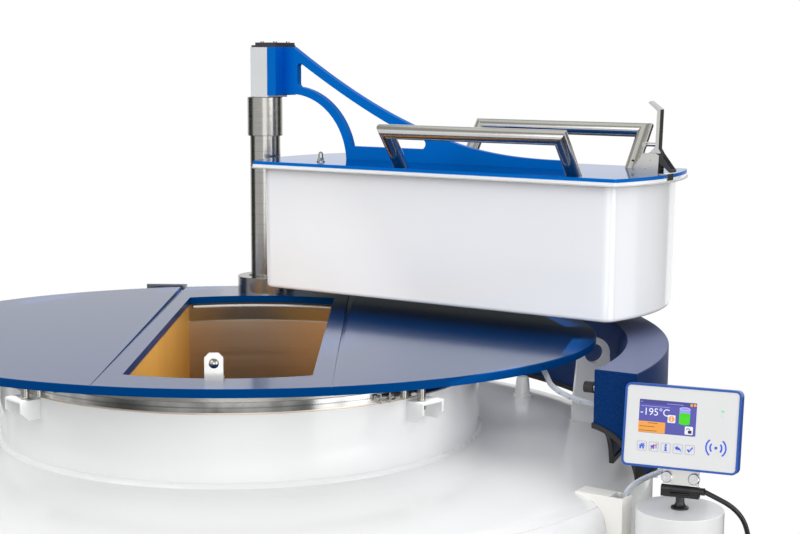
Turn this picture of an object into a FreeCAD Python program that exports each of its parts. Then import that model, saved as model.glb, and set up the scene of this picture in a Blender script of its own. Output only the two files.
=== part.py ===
import FreeCAD, Part
import math
import os

# Liquid nitrogen storage tank: a vacuum insulated vessel with a slot-shaped mouth under a flat cover,
# and an insulated lid that hangs from a lifting and swinging column. Millimetres, +Z up, front at -Y.
# The origin is on the floor, on the axis of the vessel. The neck stands off that axis.

V = FreeCAD.Vector

# Vessel
vessel_radius = 760.0
jacket_wall = 5.0
plinth_height = 60.0
plinth_radius = 700.0
plinth_width = 55.0
bottom_knuckle = 70.0
shoulder_height = 964.0
crown_flat = 530.0
crown_radius = 700.0
knuckle_radius = 50.0
seam_height = 925.0
seam_depth = 1.2
inner_radius = 690.0
inner_wall = 4.0
inner_bottom = 100.0
inner_top = 820.0
spacer_radius = 120.0
spacer_wall = 12.0

# Neck
neck_offset = 52.0
neck_radius = 470.0
neck_wall = 4.0
neck_top = 1091.0
throat_radius = 452.0
weld_size = 9.0
neck_flange = 3.0
rim_outer = 468.0
rim_inner = 453.0
band_thickness = 3.0
band_low = 1094.5
band_high = 1112.0
band_bolt_angle = -53.6
band_split = 16.0
insulation_bottom = 860.0
fit_gap = 0.3

# Cover
cover_top = 1150.0
cover_thickness = 15.0
cover_half_width = 703.0
cover_half_depth = 571.0
cover_shift = 34.6
cover_bevel = 1.5
seal_height = 4.0
slot_half_width = 163.0
slot_radius = 452.0
slot_corner = 4.0
groove_offset = 200.0
groove_widths = (2.0, 15.0)
groove_depths = (0.5, 7.0)
rim_hole_radius = 2.5
rim_hole_depth = 12.0
rim_hole_turn = -35.8

# Brackets and posts under the cover
bracket_angles = (-43.0, -137.0, 43.0, 137.0)
bracket_width = 56.0
bracket_reach = 38.0
bracket_drop = 36.0
bracket_sheet = 4.0
bracket_top = 1088.0
bracket_chamfer = 14.0
post_radius = 7.5
post_tail = 11.0
post_side = 18.0
stop_post_side = 56.0
stop_post_length = 34.0

# Lid column, on the centre line behind the neck
column_distance = 530.0
socket_outer = 45.0
socket_inner = 41.0
socket_bottom = 835.0
socket_floor = 4.0
collar_radius = 58.0
collar_rise = 6.0
flange_radius = 65.0
flange_height = 37.0
bush_outer = 40.0
bush_gap = 0.35
tube_outer = 34.75
tube_inner = 30.0
tube_bottom = 1130.0
tube_top = 1590.0
sleeve_outer = 40.0
sleeve_bottom = 1511.0
sleeve_top = 1599.0
spring_outer = 14.0
spring_inner = 12.0
spring_top = 1112.0
rod_radius = 6.0
piston_radius = 11.8
piston_height = 20.0

# Arm and head block, in the lid's own frame: along the arm from the column, across it, and up
lid_angle = 57.33
block_back = -12.0
block_joint = 36.0
block_front = 60.0
block_half = 38.0
block_bottom = 1604.0
block_top = 1712.0
cap_plate = 4.0
cap_rise = 6.0
cap_inset = 10.0
arm_thickness = 15.0
arm_end = 780.0
arch_centre = (82.0, 1457.0)
arch_radius = 150.0
arch_band = 18.0
screw_radius = 4.0
screw_head = 3.0

# Lid
lid_top = 1466.0
lid_plate = 7.0
lid_layer = 5.5
lid_seal = 4.0
lid_half_width = 175.0
lid_radius = 464.0
lid_corner = 5.0
seal_proud = 3.0
plug_half_width = 157.0
plug_radius = 443.0
plug_corner = 24.0
plug_draft = 3.0
plug_bottom = 1187.0
plug_wall = 4.0
plug_edge = 8.0
handle_radius = 15.0
handle_wall = 2.0
handle_feet = (460.0, 855.0)
handle_foot_side = 136.0
handle_grip_side = 196.0
handle_rise = 75.0
vent_place = (236.0, 110.0)

# Latch at the lid's far end
latch_start = 921.0
latch_end = 978.0
latch_half = 15.0
latch_sheet = 2.0
latch_pivot = (958.0, 1495.0)
hook_pivot = (973.0, 1502.0)
rivet_radius = 3.0
lever_half = 9.0
lever_top = 1608.0

# Striker in front of the slot
striker_width = 32.0
striker_height = 48.0
striker_sheet = 5.0
striker_place = -467.0
striker_foot = 14.0
striker_bolt_radius = 8.5
striker_bolt_height = 30.0

# Hood over the pipework, on circles about the neck axis
hood_inner = 755.0
hood_outer = 834.0
hood_top = 1155.0
hood_sheet = 3.0
hood_start = -30.5
hood_end = 72.0
hood_inner_low = 968.0
hood_outer_low = 960.0
notch_radius = 100.0
notch_place = 740.0
notch_height = 955.0
edging_lip = 6.0
edging_side = 2.5
edging_web = 3.5
hood_bracket_angles = (-14.0, 22.0, 58.0)

# Pieces on the shoulder
lug_distance = 656.0
lug_eye = 1098.0
lug_radius = 32.5
lug_hole = 19.4
lug_thickness = 15.0
lug_foot = 42.0
lug_turns = (5.3, 185.3)
port_place = (528.0, 270.0)
port_radius = 17.0
port_height = 37.0
stub_angle = -28.3
stub_height = 1116.0
stub_radius = 8.0
stub_reach = 26.0
stub_cap_radius = 10.0
stub_cap_length = 16.0

# Hoses and cable
hose_radius = 5.0
hose_wall = 1.5
level_barb = (-8.0, 1121.0)
level_port = (-28.3, 1084.0)
drain_port = (-24.0, 1040.0)
cable_radius = 4.25

# Duct, service column and display
duct_angle = -34.5
duct_width = 38.0
duct_depth = 30.0
duct_wall = 3.0
duct_top = 946.0
duct_bottom = 70.0
service_place = (732.4, -496.0)
service_radius = 73.9
service_wall = 3.0
service_top = 941.0
strap_heights = (250.0, 780.0)
strap_width = 26.0
strap_side = 18.0
strap_height = 30.0
stand_foot_radius = 15.0
stand_neck_radius = 7.5
stand_height = 20.2
display_width = 193.5
display_height = 139.0
display_depth = 30.0
display_corner = 10.0
display_turn = -21.0
display_tilt = -10.0
display_rise = 35.0
display_forward = 17.0
frame_width = 3.5
glass_thickness = 3.0
glass_inset = 1.0
screen_size = (92.4, 52.6)
screen_place = (-24.3, 14.1)
screen_thickness = 1.0
hinge_radius = 7.0
hinge_half = 32.0
hinge_ear = 16.0
hinge_rise = 32.2
hinge_pin_radius = 2.5
thumb_radius = 9.5
thumb_spacing = 45.8

# Rack carousel inside
deck_radius = 655.0
deck_height = 150.0
deck_thickness = 6.0
hub_radius = 55.0
hub_height = 40.0
pivot_radius = 20.0
pivot_fit = 0.05
divider_count = 6
divider_height = 60.0
divider_thickness = 4.0

neck_axis = (-neck_offset, 0.0)
column_axis = (-neck_offset, column_distance)
cover_low = cover_top - cover_thickness
plug_top = lid_top - lid_plate - lid_layer
closed_lid_centre = column_distance


def disc(radius, low, high, centre=(0.0, 0.0)):
    return Part.makeCylinder(radius, high - low, V(centre[0], centre[1], low))


def ring(outer, inner, low, high, centre=(0.0, 0.0)):
    return disc(outer, low, high, centre).cut(disc(inner, low - 1, high + 1, centre))


def block(low, high):
    size = [high[i] - low[i] for i in range(3)]
    return Part.makeBox(size[0], size[1], size[2], V(*low))


def rod(start, end, radius):
    start, end = V(*start), V(*end)
    return Part.makeCylinder(radius, (end - start).Length, start, end - start)


def join(shapes):
    """Fuse shapes into one solid without the seams between them."""
    return shapes[0].multiFuse(shapes[1:]).removeSplitter()


def turned(edges, centre=(0.0, 0.0)):
    """Turn a closed outline of (radius, height) edges about a vertical axis."""
    face = Part.Face(Part.Wire(edges))
    solid = face.revolve(V(0, 0, 0), V(0, 0, 1), 360)
    solid.translate(V(centre[0], centre[1], 0))
    return solid


def outline(points):
    """Straight edges through (radius, height) points, closed."""
    corners = [V(p[0], 0, p[1]) for p in points]
    return Part.makePolygon(corners + corners[:1]).Edges


def spot(centre, radius, angle, height):
    turn = math.radians(angle)
    return V(centre[0] + radius * math.cos(turn), centre[1] + radius * math.sin(turn), height)


def turned_about(shape, centre, angle):
    shape.rotate(V(centre[0], centre[1], 0), V(0, 0, 1), angle)
    return shape


def sector(outer, inner, low, high, start, end):
    """A stretch of a ring about the neck axis between two angles."""
    face = Part.Face(Part.makePolygon([V(inner, 0, low), V(outer, 0, low), V(outer, 0, high),
                                       V(inner, 0, high), V(inner, 0, low)]))
    solid = face.revolve(V(0, 0, 0), V(0, 0, 1), end - start)
    solid.rotate(V(0, 0, 0), V(0, 0, 1), start)
    solid.translate(V(neck_axis[0], neck_axis[1], 0))
    return solid


def slot_wire(half_width, radius, corner, height):
    """Two straight sides along X and two round ends on one circle, with rounded corners."""
    inner = half_width - corner
    centre_x = math.sqrt((radius - corner) ** 2 - inner ** 2)
    end_x, end_y = centre_x * radius / (radius - corner), inner * radius / (radius - corner)
    turn = (math.pi / 2 + math.atan2(inner, centre_x)) / 2
    mid_x, mid_y = centre_x + corner * math.cos(turn), inner + corner * math.sin(turn)

    def at(x, y):
        return V(x, y, height)

    edges = []
    for side in (1, -1):
        edges.append(Part.LineSegment(at(-side * centre_x, side * half_width),
                                      at(side * centre_x, side * half_width)).toShape())
        edges.append(Part.Arc(at(side * centre_x, side * half_width), at(side * mid_x, side * mid_y),
                              at(side * end_x, side * end_y)).toShape())
        edges.append(Part.Arc(at(side * end_x, side * end_y), at(side * radius, 0),
                              at(side * end_x, -side * end_y)).toShape())
        edges.append(Part.Arc(at(side * end_x, -side * end_y), at(side * mid_x, -side * mid_y),
                              at(side * centre_x, -side * half_width)).toShape())
    return Part.Wire(edges)


def slot_solid(half_width, radius, corner, low, high):
    face = Part.Face(slot_wire(half_width, radius, corner, low))
    return face.extrude(V(0, 0, high - low))


def lid_slot(half_width, radius, corner, low, high):
    solid = slot_solid(half_width, radius, corner, low, high)
    solid.translate(V(closed_lid_centre, 0, 0))
    return solid


def on_column(shape):
    """Carry a shape from the lid's own frame to the open lid's place on the column."""
    shape.rotate(V(0, 0, 0), V(0, 0, 1), lid_angle - 90)
    shape.translate(V(column_axis[0], column_axis[1], 0))
    return shape


def hose_path(points):
    """Straight runs joined by tangent arcs as large as the runs allow."""
    points = [V(*p) for p in points]
    edges, start, radii = [], points[0], []
    for before, here, after in zip(points, points[1:], points[2:]):
        into, out = (here - before), (after - here)
        shorter = min(into.Length, out.Length)
        into.normalize()
        out.normalize()
        turn = into.getAngle(out)
        reach = 0.45 * shorter
        radius = reach / math.tan(turn / 2)
        radii.append(round(radius))
        first, last = here - into * reach, here + out * reach
        bisector = out - into
        bisector.normalize()
        centre = here + bisector * (radius / math.cos(turn / 2))
        middle = centre - bisector * radius
        edges.append(Part.LineSegment(start, first).toShape())
        edges.append(Part.Arc(first, middle, last).toShape())
        start = last
    edges.append(Part.LineSegment(start, points[-1]).toShape())
    print("radii", radii)
    return Part.Wire(edges), points[0], points[1] - points[0]


def swept(points, radius):
    path, start, direction = hose_path(points)
    profile = Part.Wire([Part.Circle(start, direction, radius).toShape()])
    return path.makePipeShell([profile], True, True)


# Vessel and neck

def jacket_body(wall):
    """The jacket's outer form, or its inner one when a wall is taken off."""
    radius, floor, roof = vessel_radius - wall, plinth_height + wall, shoulder_height - wall
    bottom_arc = bottom_knuckle - wall
    arc = crown_radius - wall
    knuckle = knuckle_radius - wall
    crown_z = shoulder_height - crown_radius
    knuckle_x = vessel_radius - knuckle_radius
    knuckle_z = crown_z + math.sqrt((crown_radius - knuckle_radius) ** 2 - (knuckle_x - crown_flat) ** 2)
    lean = math.atan2(knuckle_z - crown_z, knuckle_x - crown_flat)
    meet = (knuckle_x + knuckle * math.cos(lean), knuckle_z + knuckle * math.sin(lean))
    crown_mid = (lean + math.pi / 2) / 2
    knuckle_mid = lean / 2

    def at(r, z):
        return V(r, 0, z)

    edges = [
        Part.LineSegment(at(0, floor), at(radius - bottom_arc, floor)).toShape(),
        Part.Arc(at(radius - bottom_arc, floor),
                 at(radius - bottom_arc + bottom_arc * math.sin(math.pi / 4),
                    floor + bottom_arc - bottom_arc * math.cos(math.pi / 4)),
                 at(radius, floor + bottom_arc)).toShape(),
        Part.LineSegment(at(radius, floor + bottom_arc), at(radius, knuckle_z)).toShape(),
        Part.Arc(at(radius, knuckle_z),
                 at(knuckle_x + knuckle * math.cos(knuckle_mid), knuckle_z + knuckle * math.sin(knuckle_mid)),
                 at(*meet)).toShape(),
        Part.Arc(at(*meet), at(crown_flat + arc * math.cos(crown_mid), crown_z + arc * math.sin(crown_mid)),
                 at(crown_flat, roof)).toShape(),
        Part.LineSegment(at(crown_flat, roof), at(0, roof)).toShape(),
        Part.LineSegment(at(0, roof), at(0, floor)).toShape(),
    ]
    return turned(edges)


def seam_radius():
    """Radius of the jacket where the seam runs round its knuckle."""
    crown_z = shoulder_height - crown_radius
    knuckle_x = vessel_radius - knuckle_radius
    knuckle_z = crown_z + math.sqrt((crown_radius - knuckle_radius) ** 2 - (knuckle_x - crown_flat) ** 2)
    return knuckle_x + math.sqrt(knuckle_radius ** 2 - (seam_height - knuckle_z) ** 2)


outer_form = jacket_body(0.0)


def outer_vessel():
    neck = disc(neck_radius, shoulder_height - jacket_wall, neck_top, neck_axis)
    bead = turned([
        Part.LineSegment(V(neck_radius - 1, 0, shoulder_height - 1),
                         V(neck_radius + weld_size, 0, shoulder_height - 1)).toShape(),
        Part.Arc(V(neck_radius + weld_size, 0, shoulder_height - 1),
                 V(neck_radius + 0.6 * weld_size, 0, shoulder_height + 0.6 * weld_size),
                 V(neck_radius - 1, 0, shoulder_height + weld_size)).toShape(),
        Part.LineSegment(V(neck_radius - 1, 0, shoulder_height + weld_size),
                         V(neck_radius - 1, 0, shoulder_height - 1)).toShape(),
    ], neck_axis)
    shell = outer_form.fuse([neck, bead])
    bore = neck_radius - neck_wall
    shell = shell.cut(jacket_body(jacket_wall))
    shell = shell.cut(disc(bore, shoulder_height - 2 * jacket_wall, neck_top - neck_flange, neck_axis))
    shell = shell.cut(disc(throat_radius + fit_gap, neck_top - 2 * neck_flange, neck_top + 1, neck_axis))
    shell = shell.cut(disc(socket_outer, socket_bottom, shoulder_height + 1, column_axis))
    groove = Part.makeTorus(seam_radius(), seam_depth, V(0, 0, seam_height))
    return shell.cut(groove)


def inner_vessel():
    tank = ring(inner_radius, inner_radius - inner_wall, inner_bottom, inner_top)
    floor = disc(inner_radius, inner_bottom, inner_bottom + inner_wall)
    roof = disc(inner_radius, inner_top - inner_wall, inner_top)
    throat = disc(throat_radius, inner_top - inner_wall, neck_top, neck_axis)
    flange = disc(rim_outer, neck_top, neck_top + neck_flange, neck_axis)
    bore = disc(throat_radius - inner_wall, inner_top - 2 * inner_wall, neck_top + 2 * neck_flange, neck_axis)
    return join([tank, floor, roof, throat, flange]).cut(bore)


def vacuum_spacer():
    return ring(spacer_radius, spacer_radius - spacer_wall, plinth_height + jacket_wall, inner_bottom)


def base_plinth():
    return ring(plinth_radius, plinth_radius - plinth_width, 0, plinth_height).cut(outer_form)


def neck_rim():
    return ring(rim_outer, rim_inner, neck_top + neck_flange, cover_low - seal_height, neck_axis)


def neck_band():
    inner = rim_outer + fit_gap
    strip = ring(inner + band_thickness, inner, band_low, band_high, neck_axis)
    half = band_split / 2
    gap = block((inner - 5, -half, band_low - 1), (inner + 9, half, band_high + 1))
    ears = [block((inner, side * half - (3 if side < 0 else 0), band_low),
                  (inner + 16, side * half + (3 if side > 0 else 0), band_high)) for side in (1, -1)]
    ears = [ear.cut(rod((inner + 9, -40, (band_low + band_high) / 2),
                        (inner + 9, 40, (band_low + band_high) / 2), 3.2)) for ear in ears]
    for shape in [gap] + ears:
        shape.translate(V(neck_axis[0], neck_axis[1], 0))
        turned_about(shape, neck_axis, band_bolt_angle)
    return join([strip.cut(gap)] + ears)


def band_bolt():
    middle = (band_low + band_high) / 2
    place = rim_outer + fit_gap + 9
    shank = rod((place, -17, middle), (place, 22, middle), 3)
    head = rod((place, -17, middle), (place, -11.1, middle), 5.5)
    nut = hexagon(6, 5).copy()
    nut.rotate(V(0, 0, 0), V(1, 0, 0), -90)
    nut.translate(V(place, 11.1, middle))
    bolt = join([shank, head, nut])
    bolt.translate(V(neck_axis[0], neck_axis[1], 0))
    return turned_about(bolt, neck_axis, band_bolt_angle)


def hexagon(radius, height):
    corners = [V(radius * math.cos(math.radians(60 * i)), radius * math.sin(math.radians(60 * i)), 0)
               for i in range(6)]
    return Part.Face(Part.makePolygon(corners + corners[:1])).extrude(V(0, 0, height))


def insulation(side):
    """One of the two foam blocks that fill the round throat beside the slot."""
    face = neck_axis[0] + side * (slot_half_width + 2)
    reach = throat_radius - inner_wall - fit_gap
    body = disc(reach, insulation_bottom, cover_low - seal_height, neck_axis)
    far = neck_axis[0] + side * (reach + 5)
    keep = block((min(face, far), -reach, insulation_bottom), (max(face, far), reach, cover_low - seal_height))
    return body.common(keep)


def cover_seal():
    return ring(rim_outer - 1, rim_inner + 1, cover_low - seal_height, cover_low, neck_axis)


# Cover

def ellipse_wire(half_width, half_depth, height):
    centre = V(neck_axis[0], neck_axis[1] + cover_shift, height)
    return Part.Wire([Part.Ellipse(centre, half_width, half_depth).toShape()])


def cover_edge(turn):
    """Point of the cover's rim and the outward direction there."""
    angle = math.radians(turn)
    x, y = cover_half_width * math.cos(angle), cover_half_depth * math.sin(angle)
    normal = V(math.cos(angle) / cover_half_width, math.sin(angle) / cover_half_depth, 0)
    normal.normalize()
    return V(neck_axis[0] + x, neck_axis[1] + cover_shift + y, 0), normal


def groove(side):
    """A drain groove that widens and deepens from the front rim to the rear one."""
    sections = []
    for place, width, depth in zip((-cover_half_depth, cover_half_depth), groove_widths, groove_depths):
        x, y = neck_axis[0] + side * groove_offset, cover_shift + place
        sections.append(Part.makePolygon([
            V(x - width / 2, y, cover_top + 1), V(x - width / 2 + depth / 3, y, cover_top - depth),
            V(x + width / 2 - depth / 3, y, cover_top - depth), V(x + width / 2, y, cover_top + 1),
            V(x - width / 2, y, cover_top + 1)]))
    return Part.makeLoft(sections, True, True)


def cover_plate():
    body = Part.Face(ellipse_wire(cover_half_width, cover_half_depth, cover_low))
    body = body.extrude(V(0, 0, cover_thickness - cover_bevel))
    bevel = Part.makeLoft([ellipse_wire(cover_half_width, cover_half_depth, cover_top - cover_bevel),
                           ellipse_wire(cover_half_width - cover_bevel, cover_half_depth - cover_bevel,
                                        cover_top)], True)
    mouth = slot_solid(slot_half_width, slot_radius, slot_corner, cover_low - 1, cover_top + 1)
    mouth.rotate(V(0, 0, 0), V(0, 0, 1), 90)
    mouth.translate(V(neck_axis[0], neck_axis[1], 0))
    edge, normal = cover_edge(rim_hole_turn)
    edge.z = cover_low + cover_thickness / 2
    drill = Part.makeCylinder(rim_hole_radius, 2 * rim_hole_depth, edge - normal * rim_hole_depth, normal)
    plate = body.fuse(bevel).cut([mouth, groove(-1), groove(1), drill,
                                  disc(bush_outer, cover_low - 1, cover_top + 1, column_axis)])
    return plate.removeSplitter()


def drip_gutters():
    """Folded steel troughs that catch what runs out of the two grooves."""
    gutters = []
    for side in (-1, 1):
        x = neck_axis[0] + side * (groove_offset + 42)
        back = cover_shift + cover_half_depth * math.sqrt(1 - ((groove_offset + 42) / cover_half_width) ** 2)
        outer = back + 30
        inner = back - 30
        half = 48
        sheet = 2
        low = cover_low - 17
        gutters.append(join([
            block((x - half, outer - sheet, low), (x + half, outer, cover_top + 4)),
            block((x - half, inner, low), (x + half, outer, low + sheet)),
            block((x - half, inner, low), (x + half, inner + sheet, cover_low))]))
    return Part.makeCompound(gutters)


def cover_bracket():
    """A folded sheet: a shelf on the neck with a cheek under each side."""
    half = bracket_width / 2
    reach = neck_radius + bracket_reach
    shelf = block((neck_radius - 10, -half, bracket_top - bracket_sheet), (reach, half, bracket_top))
    cheek = Part.Face(Part.makePolygon([
        V(neck_radius - 10, 0, bracket_top), V(reach, 0, bracket_top),
        V(reach, 0, bracket_top - bracket_drop + bracket_chamfer),
        V(reach - bracket_chamfer, 0, bracket_top - bracket_drop),
        V(neck_radius - 10, 0, bracket_top - bracket_drop), V(neck_radius - 10, 0, bracket_top)]))
    cheeks = []
    for side in (1, -1):
        sheet = cheek.extrude(V(0, -side * bracket_sheet, 0))
        sheet.translate(V(0, side * half, 0))
        cheeks.append(sheet)
    hole = disc(post_radius, bracket_top - 2 * bracket_sheet, bracket_top + 1,
                (neck_radius + bracket_reach / 2, -half + post_side))
    return join([shelf] + cheeks).cut([disc(neck_radius, 0, cover_top), hole])


def at_brackets(make):
    shapes = []
    for angle in bracket_angles:
        shape = make()
        if math.cos(math.radians(angle)) * math.sin(math.radians(angle)) > 0:
            shape = shape.mirror(V(0, 0, 0), V(0, 1, 0))
        shape.translate(V(neck_axis[0], neck_axis[1], 0))
        shapes.append(turned_about(shape, neck_axis, angle))
    return Part.makeCompound(shapes)


def cover_post():
    place = (neck_radius + bracket_reach / 2, -bracket_width / 2 + post_side)
    long_post = disc(post_radius, bracket_top - bracket_sheet - post_tail, cover_low, place)
    stop_post = disc(post_radius - 0.5, cover_low - stop_post_length, cover_low,
                     (neck_radius + bracket_reach / 2, -stop_post_side))
    return Part.makeCompound([long_post, stop_post])


def latch_striker():
    half = striker_width / 2
    face = Part.Face(Part.makePolygon([
        V(-half, 0, 0), V(half, 0, 0), V(half, 0, striker_height - 8), V(half - 8, 0, striker_height),
        V(-half + 8, 0, striker_height), V(-half, 0, striker_height - 8), V(-half, 0, 0)]))
    plate = face.extrude(V(0, -striker_sheet, 0))
    foot = block((-half, -striker_sheet, 0), (half, striker_foot, striker_sheet))
    hole = rod((0, -striker_sheet - 1, striker_bolt_height), (0, 1, striker_bolt_height), 4)
    striker = join([plate, foot]).cut(hole)
    striker.translate(V(neck_axis[0], striker_place, cover_top))
    return striker


def striker_bolt():
    head = Part.makeSphere(striker_bolt_radius + 2, V(0, -striker_sheet + 6, striker_bolt_height))
    head = head.common(block((-20, -40, 0), (20, -striker_sheet, striker_height + 20)))
    shank = rod((0, -striker_sheet - 0.5, striker_bolt_height), (0, 6, striker_bolt_height), 4)
    nut = hexagon(7.5, 5)
    nut.rotate(V(0, 0, 0), V(1, 0, 0), -90)
    nut.translate(V(0, 0, striker_bolt_height))
    bolt = join([head, shank, nut])
    bolt.translate(V(neck_axis[0], striker_place, cover_top))
    return bolt


# Column

def column_socket(vessel):
    tube = ring(socket_outer, socket_inner, socket_bottom, cover_low, column_axis)
    floor = disc(socket_outer, socket_bottom, socket_bottom + socket_floor, column_axis)
    collar = ring(collar_radius, socket_outer - 1, shoulder_height - 3 * collar_rise,
                  shoulder_height + collar_rise, column_axis).cut(outer_form)
    return join([tube, floor, collar]).cut(vessel)


def column_flange():
    body = disc(flange_radius, cover_top, cover_top + flange_height, column_axis)
    body = body.makeChamfer(1.0, [edge for edge in body.Edges
                                  if edge.BoundBox.ZMin > cover_top + flange_height - 1])
    return body.cut(disc(bush_outer, cover_top - 1, cover_top + flange_height + 1, column_axis))


def guide_bush():
    return ring(bush_outer, tube_outer + bush_gap, cover_low, cover_top + flange_height, column_axis)


def gas_spring_body():
    body = ring(spring_outer, spring_inner, socket_bottom + socket_floor, spring_top, column_axis)
    foot = disc(spring_outer, socket_bottom + socket_floor, socket_bottom + 4 * socket_floor, column_axis)
    mouth = ring(spring_outer, rod_radius + fit_gap, spring_top - 8, spring_top, column_axis)
    return join([body, foot, mouth])


def gas_spring_rod():
    stem = disc(rod_radius, spring_top - 60, tube_top, column_axis)
    piston = disc(piston_radius, spring_top - 60 - piston_height, spring_top - 60, column_axis)
    head = disc(tube_inner, tube_top - 12, tube_top, column_axis)
    return join([stem, piston, head])


def lift_tube():
    return ring(tube_outer, tube_inner, tube_bottom, tube_top, column_axis)


def column_sleeve():
    body = disc(sleeve_outer, sleeve_bottom, sleeve_top, column_axis)
    body = body.makeChamfer(1.0, body.Edges)
    return body.cut(disc(tube_outer + bush_gap, sleeve_bottom - 1, tube_top + fit_gap, column_axis))


# Arm and head, made in the lid's own frame

def head_block():
    body = block((block_back, -block_half, sleeve_top), (block_joint, block_half, block_top))
    body = body.makeChamfer(1.0, body.Edges)
    return on_column(body)


def arm_upper_edge():
    """The arm's hollow upper edge, from the head down to its tail on the lid."""
    poles = [V(block_front + 26, 0, block_top), V(240, 0, 1612), V(430, 0, 1528), V(600, 0, 1482),
             V(arm_end - 8, 0, 1484)]
    curve = Part.BSplineCurve()
    curve.buildFromPoles(poles)
    return curve.toShape(), poles


def arm_plate():
    half = arm_thickness / 2
    edge, poles = arm_upper_edge()
    cx, cz = arch_centre
    foot = cx + math.sqrt(arch_radius ** 2 - (lid_top - cz) ** 2)
    middle = math.radians(48)
    edges = [
        Part.LineSegment(V(block_joint, 0, block_top), V(block_front + 26, 0, block_top)).toShape(),
        edge,
        Part.LineSegment(poles[-1], V(arm_end, 0, lid_top)).toShape(),
        Part.LineSegment(V(arm_end, 0, lid_top), V(foot, 0, lid_top)).toShape(),
        Part.Arc(V(foot, 0, lid_top),
                 V(cx + arch_radius * math.cos(middle), 0, cz + arch_radius * math.sin(middle)),
                 V(cx, 0, cz + arch_radius)).toShape(),
        Part.LineSegment(V(cx, 0, cz + arch_radius), V(block_joint, 0, cz + arch_radius)).toShape(),
        Part.LineSegment(V(block_joint, 0, cz + arch_radius), V(block_joint, 0, block_top)).toShape(),
    ]
    plate = Part.Face(Part.Wire(edges)).extrude(V(0, arm_thickness, 0))
    plate.translate(V(0, -half, 0))
    head = block((block_joint, -block_half, block_bottom), (block_front, block_half, block_top))
    arm = join([plate, head]).cut(arm_window())
    return on_column(arm)


def arm_window():
    """The long window: an upright end, a curved roof and floor, and a round-ended slot."""
    cx, cz = arch_centre
    inner = arch_radius + arch_band
    floor, roof_end = 1495.0, 1517.0
    left, top = 98.0, 1673.0
    knee = math.acos((left + 10 - cx) / inner)
    low = math.asin((floor - cz) / inner)
    slot_end = 427.0
    half_slot = (roof_end - floor) / 2

    def on_arch(angle):
        return V(cx + inner * math.cos(angle), 0, cz + inner * math.sin(angle))

    curve = Part.BSplineCurve()
    curve.buildFromPoles([V(slot_end, 0, roof_end), V(385, 0, 1524), V(270, 0, 1576), V(112, 0, top)])
    corner = on_arch(knee)
    edges = [
        Part.LineSegment(V(left, 0, corner.z + 8), V(left, 0, top - 8)).toShape(),
        Part.Arc(V(left, 0, top - 8), V(left + 3, 0, top + 1), V(112, 0, top)).toShape(),
        curve.toShape(),
        Part.Arc(V(slot_end, 0, roof_end), V(slot_end + half_slot, 0, floor + half_slot),
                 V(slot_end, 0, floor)).toShape(),
        Part.LineSegment(V(slot_end, 0, floor), on_arch(low)).toShape(),
        Part.Arc(on_arch(low), on_arch((low + knee) / 2), corner).toShape(),
        Part.Arc(corner, V(left + 3, 0, corner.z + 2), V(left, 0, corner.z + 8)).toShape(),
    ]
    window = Part.Face(Part.Wire(edges)).extrude(V(0, 2 * arm_thickness, 0))
    window.translate(V(0, -arm_thickness, 0))
    return window


def column_cap():
    low = block((block_back + 4, -block_half, block_top), (block_front, block_half, block_top + cap_plate))
    high = block((block_back + 14, -block_half + 1, block_top + cap_plate),
                 (block_front - 2, block_half - 1, block_top + cap_plate + cap_rise))
    cap = join([low, high]).cut(block((block_front + 10, -20, block_top), (block_front + 40, 20, block_top + 20)))
    return on_column(cap)


def head_screws():
    """Round heads on the cap and socket heads in the block's back."""
    top = block_top + cap_plate + cap_rise
    heads = [disc(screw_radius, top, top + screw_head, (x, y))
             for x in (block_back + 24, block_front - 12) for y in (-24, 24)]
    for z in (block_top - 22, block_bottom + 22):
        head = rod((block_back - screw_head, 0, z), (block_back, 0, z), 1.5 * screw_radius)
        heads.append(head.cut(rod((block_back - screw_head - 1, 0, z), (block_back - 1, 0, z), 2.5)))
    return on_column(Part.makeCompound(heads))


# Lid

def lid_plate_solid():
    plate = lid_slot(lid_half_width, lid_radius, lid_corner, lid_top - lid_plate, lid_top)
    return on_column(plate)


def lid_layer_solid():
    return on_column(lid_slot(lid_half_width + 0.5, lid_radius + 0.5, lid_corner, plug_top, lid_top - lid_plate))


def lid_seal_solid():
    outer = lid_slot(lid_half_width + seal_proud, lid_radius + seal_proud, lid_corner + seal_proud,
                     plug_top - lid_seal, plug_top)
    outer = outer.makeFillet(lid_seal / 2 - 0.1, [edge for edge in outer.Edges
                                                  if abs(edge.BoundBox.ZMax - edge.BoundBox.ZMin) < 0.1])
    inner = lid_slot(plug_half_width + 1, plug_radius + 1, plug_corner, plug_top - 2 * lid_seal, plug_top + 1)
    return on_column(outer.cut(inner))


def plug_form(inset, low):
    """The plug's drafted form between its floor and the underside of the lid."""
    drop = plug_draft * (plug_top - low) / (plug_top - plug_bottom)
    wires = [slot_wire(plug_half_width - inset, plug_radius - inset, plug_corner - inset, plug_top),
             slot_wire(plug_half_width - inset - drop, plug_radius - inset - drop, plug_corner - inset, low)]
    form = Part.makeLoft(wires, True, True)
    form.translate(V(closed_lid_centre, 0, 0))
    return form


def lid_plug():
    outer = plug_form(0.0, plug_bottom)
    outer = outer.makeFillet(plug_edge, [edge for edge in outer.Edges if edge.BoundBox.ZMax < plug_bottom + 1])
    return on_column(outer.cut(plug_form(plug_wall, plug_bottom + plug_wall)))


def mitred(corners, radius):
    """Straight round bars that meet on mitre planes."""
    runs = [(end - start).normalize() for start, end in zip(corners, corners[1:])]
    bars = []
    for i, along in enumerate(runs):
        first = corners[i] - along * (2 * radius if i else 0)
        last = corners[i + 1] + along * (2 * radius if i < len(runs) - 1 else 0)
        bar = Part.makeCylinder(radius, (last - first).Length, first, along)
        if i:
            bar = bar.cut(Part.makeCylinder(6 * radius, 6 * radius, corners[i], -(runs[i - 1] + along)))
        if i < len(runs) - 1:
            bar = bar.cut(Part.makeCylinder(6 * radius, 6 * radius, corners[i + 1], along + runs[i + 1]))
        bars.append(bar)
    return bars[0].multiFuse(bars[1:])


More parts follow.
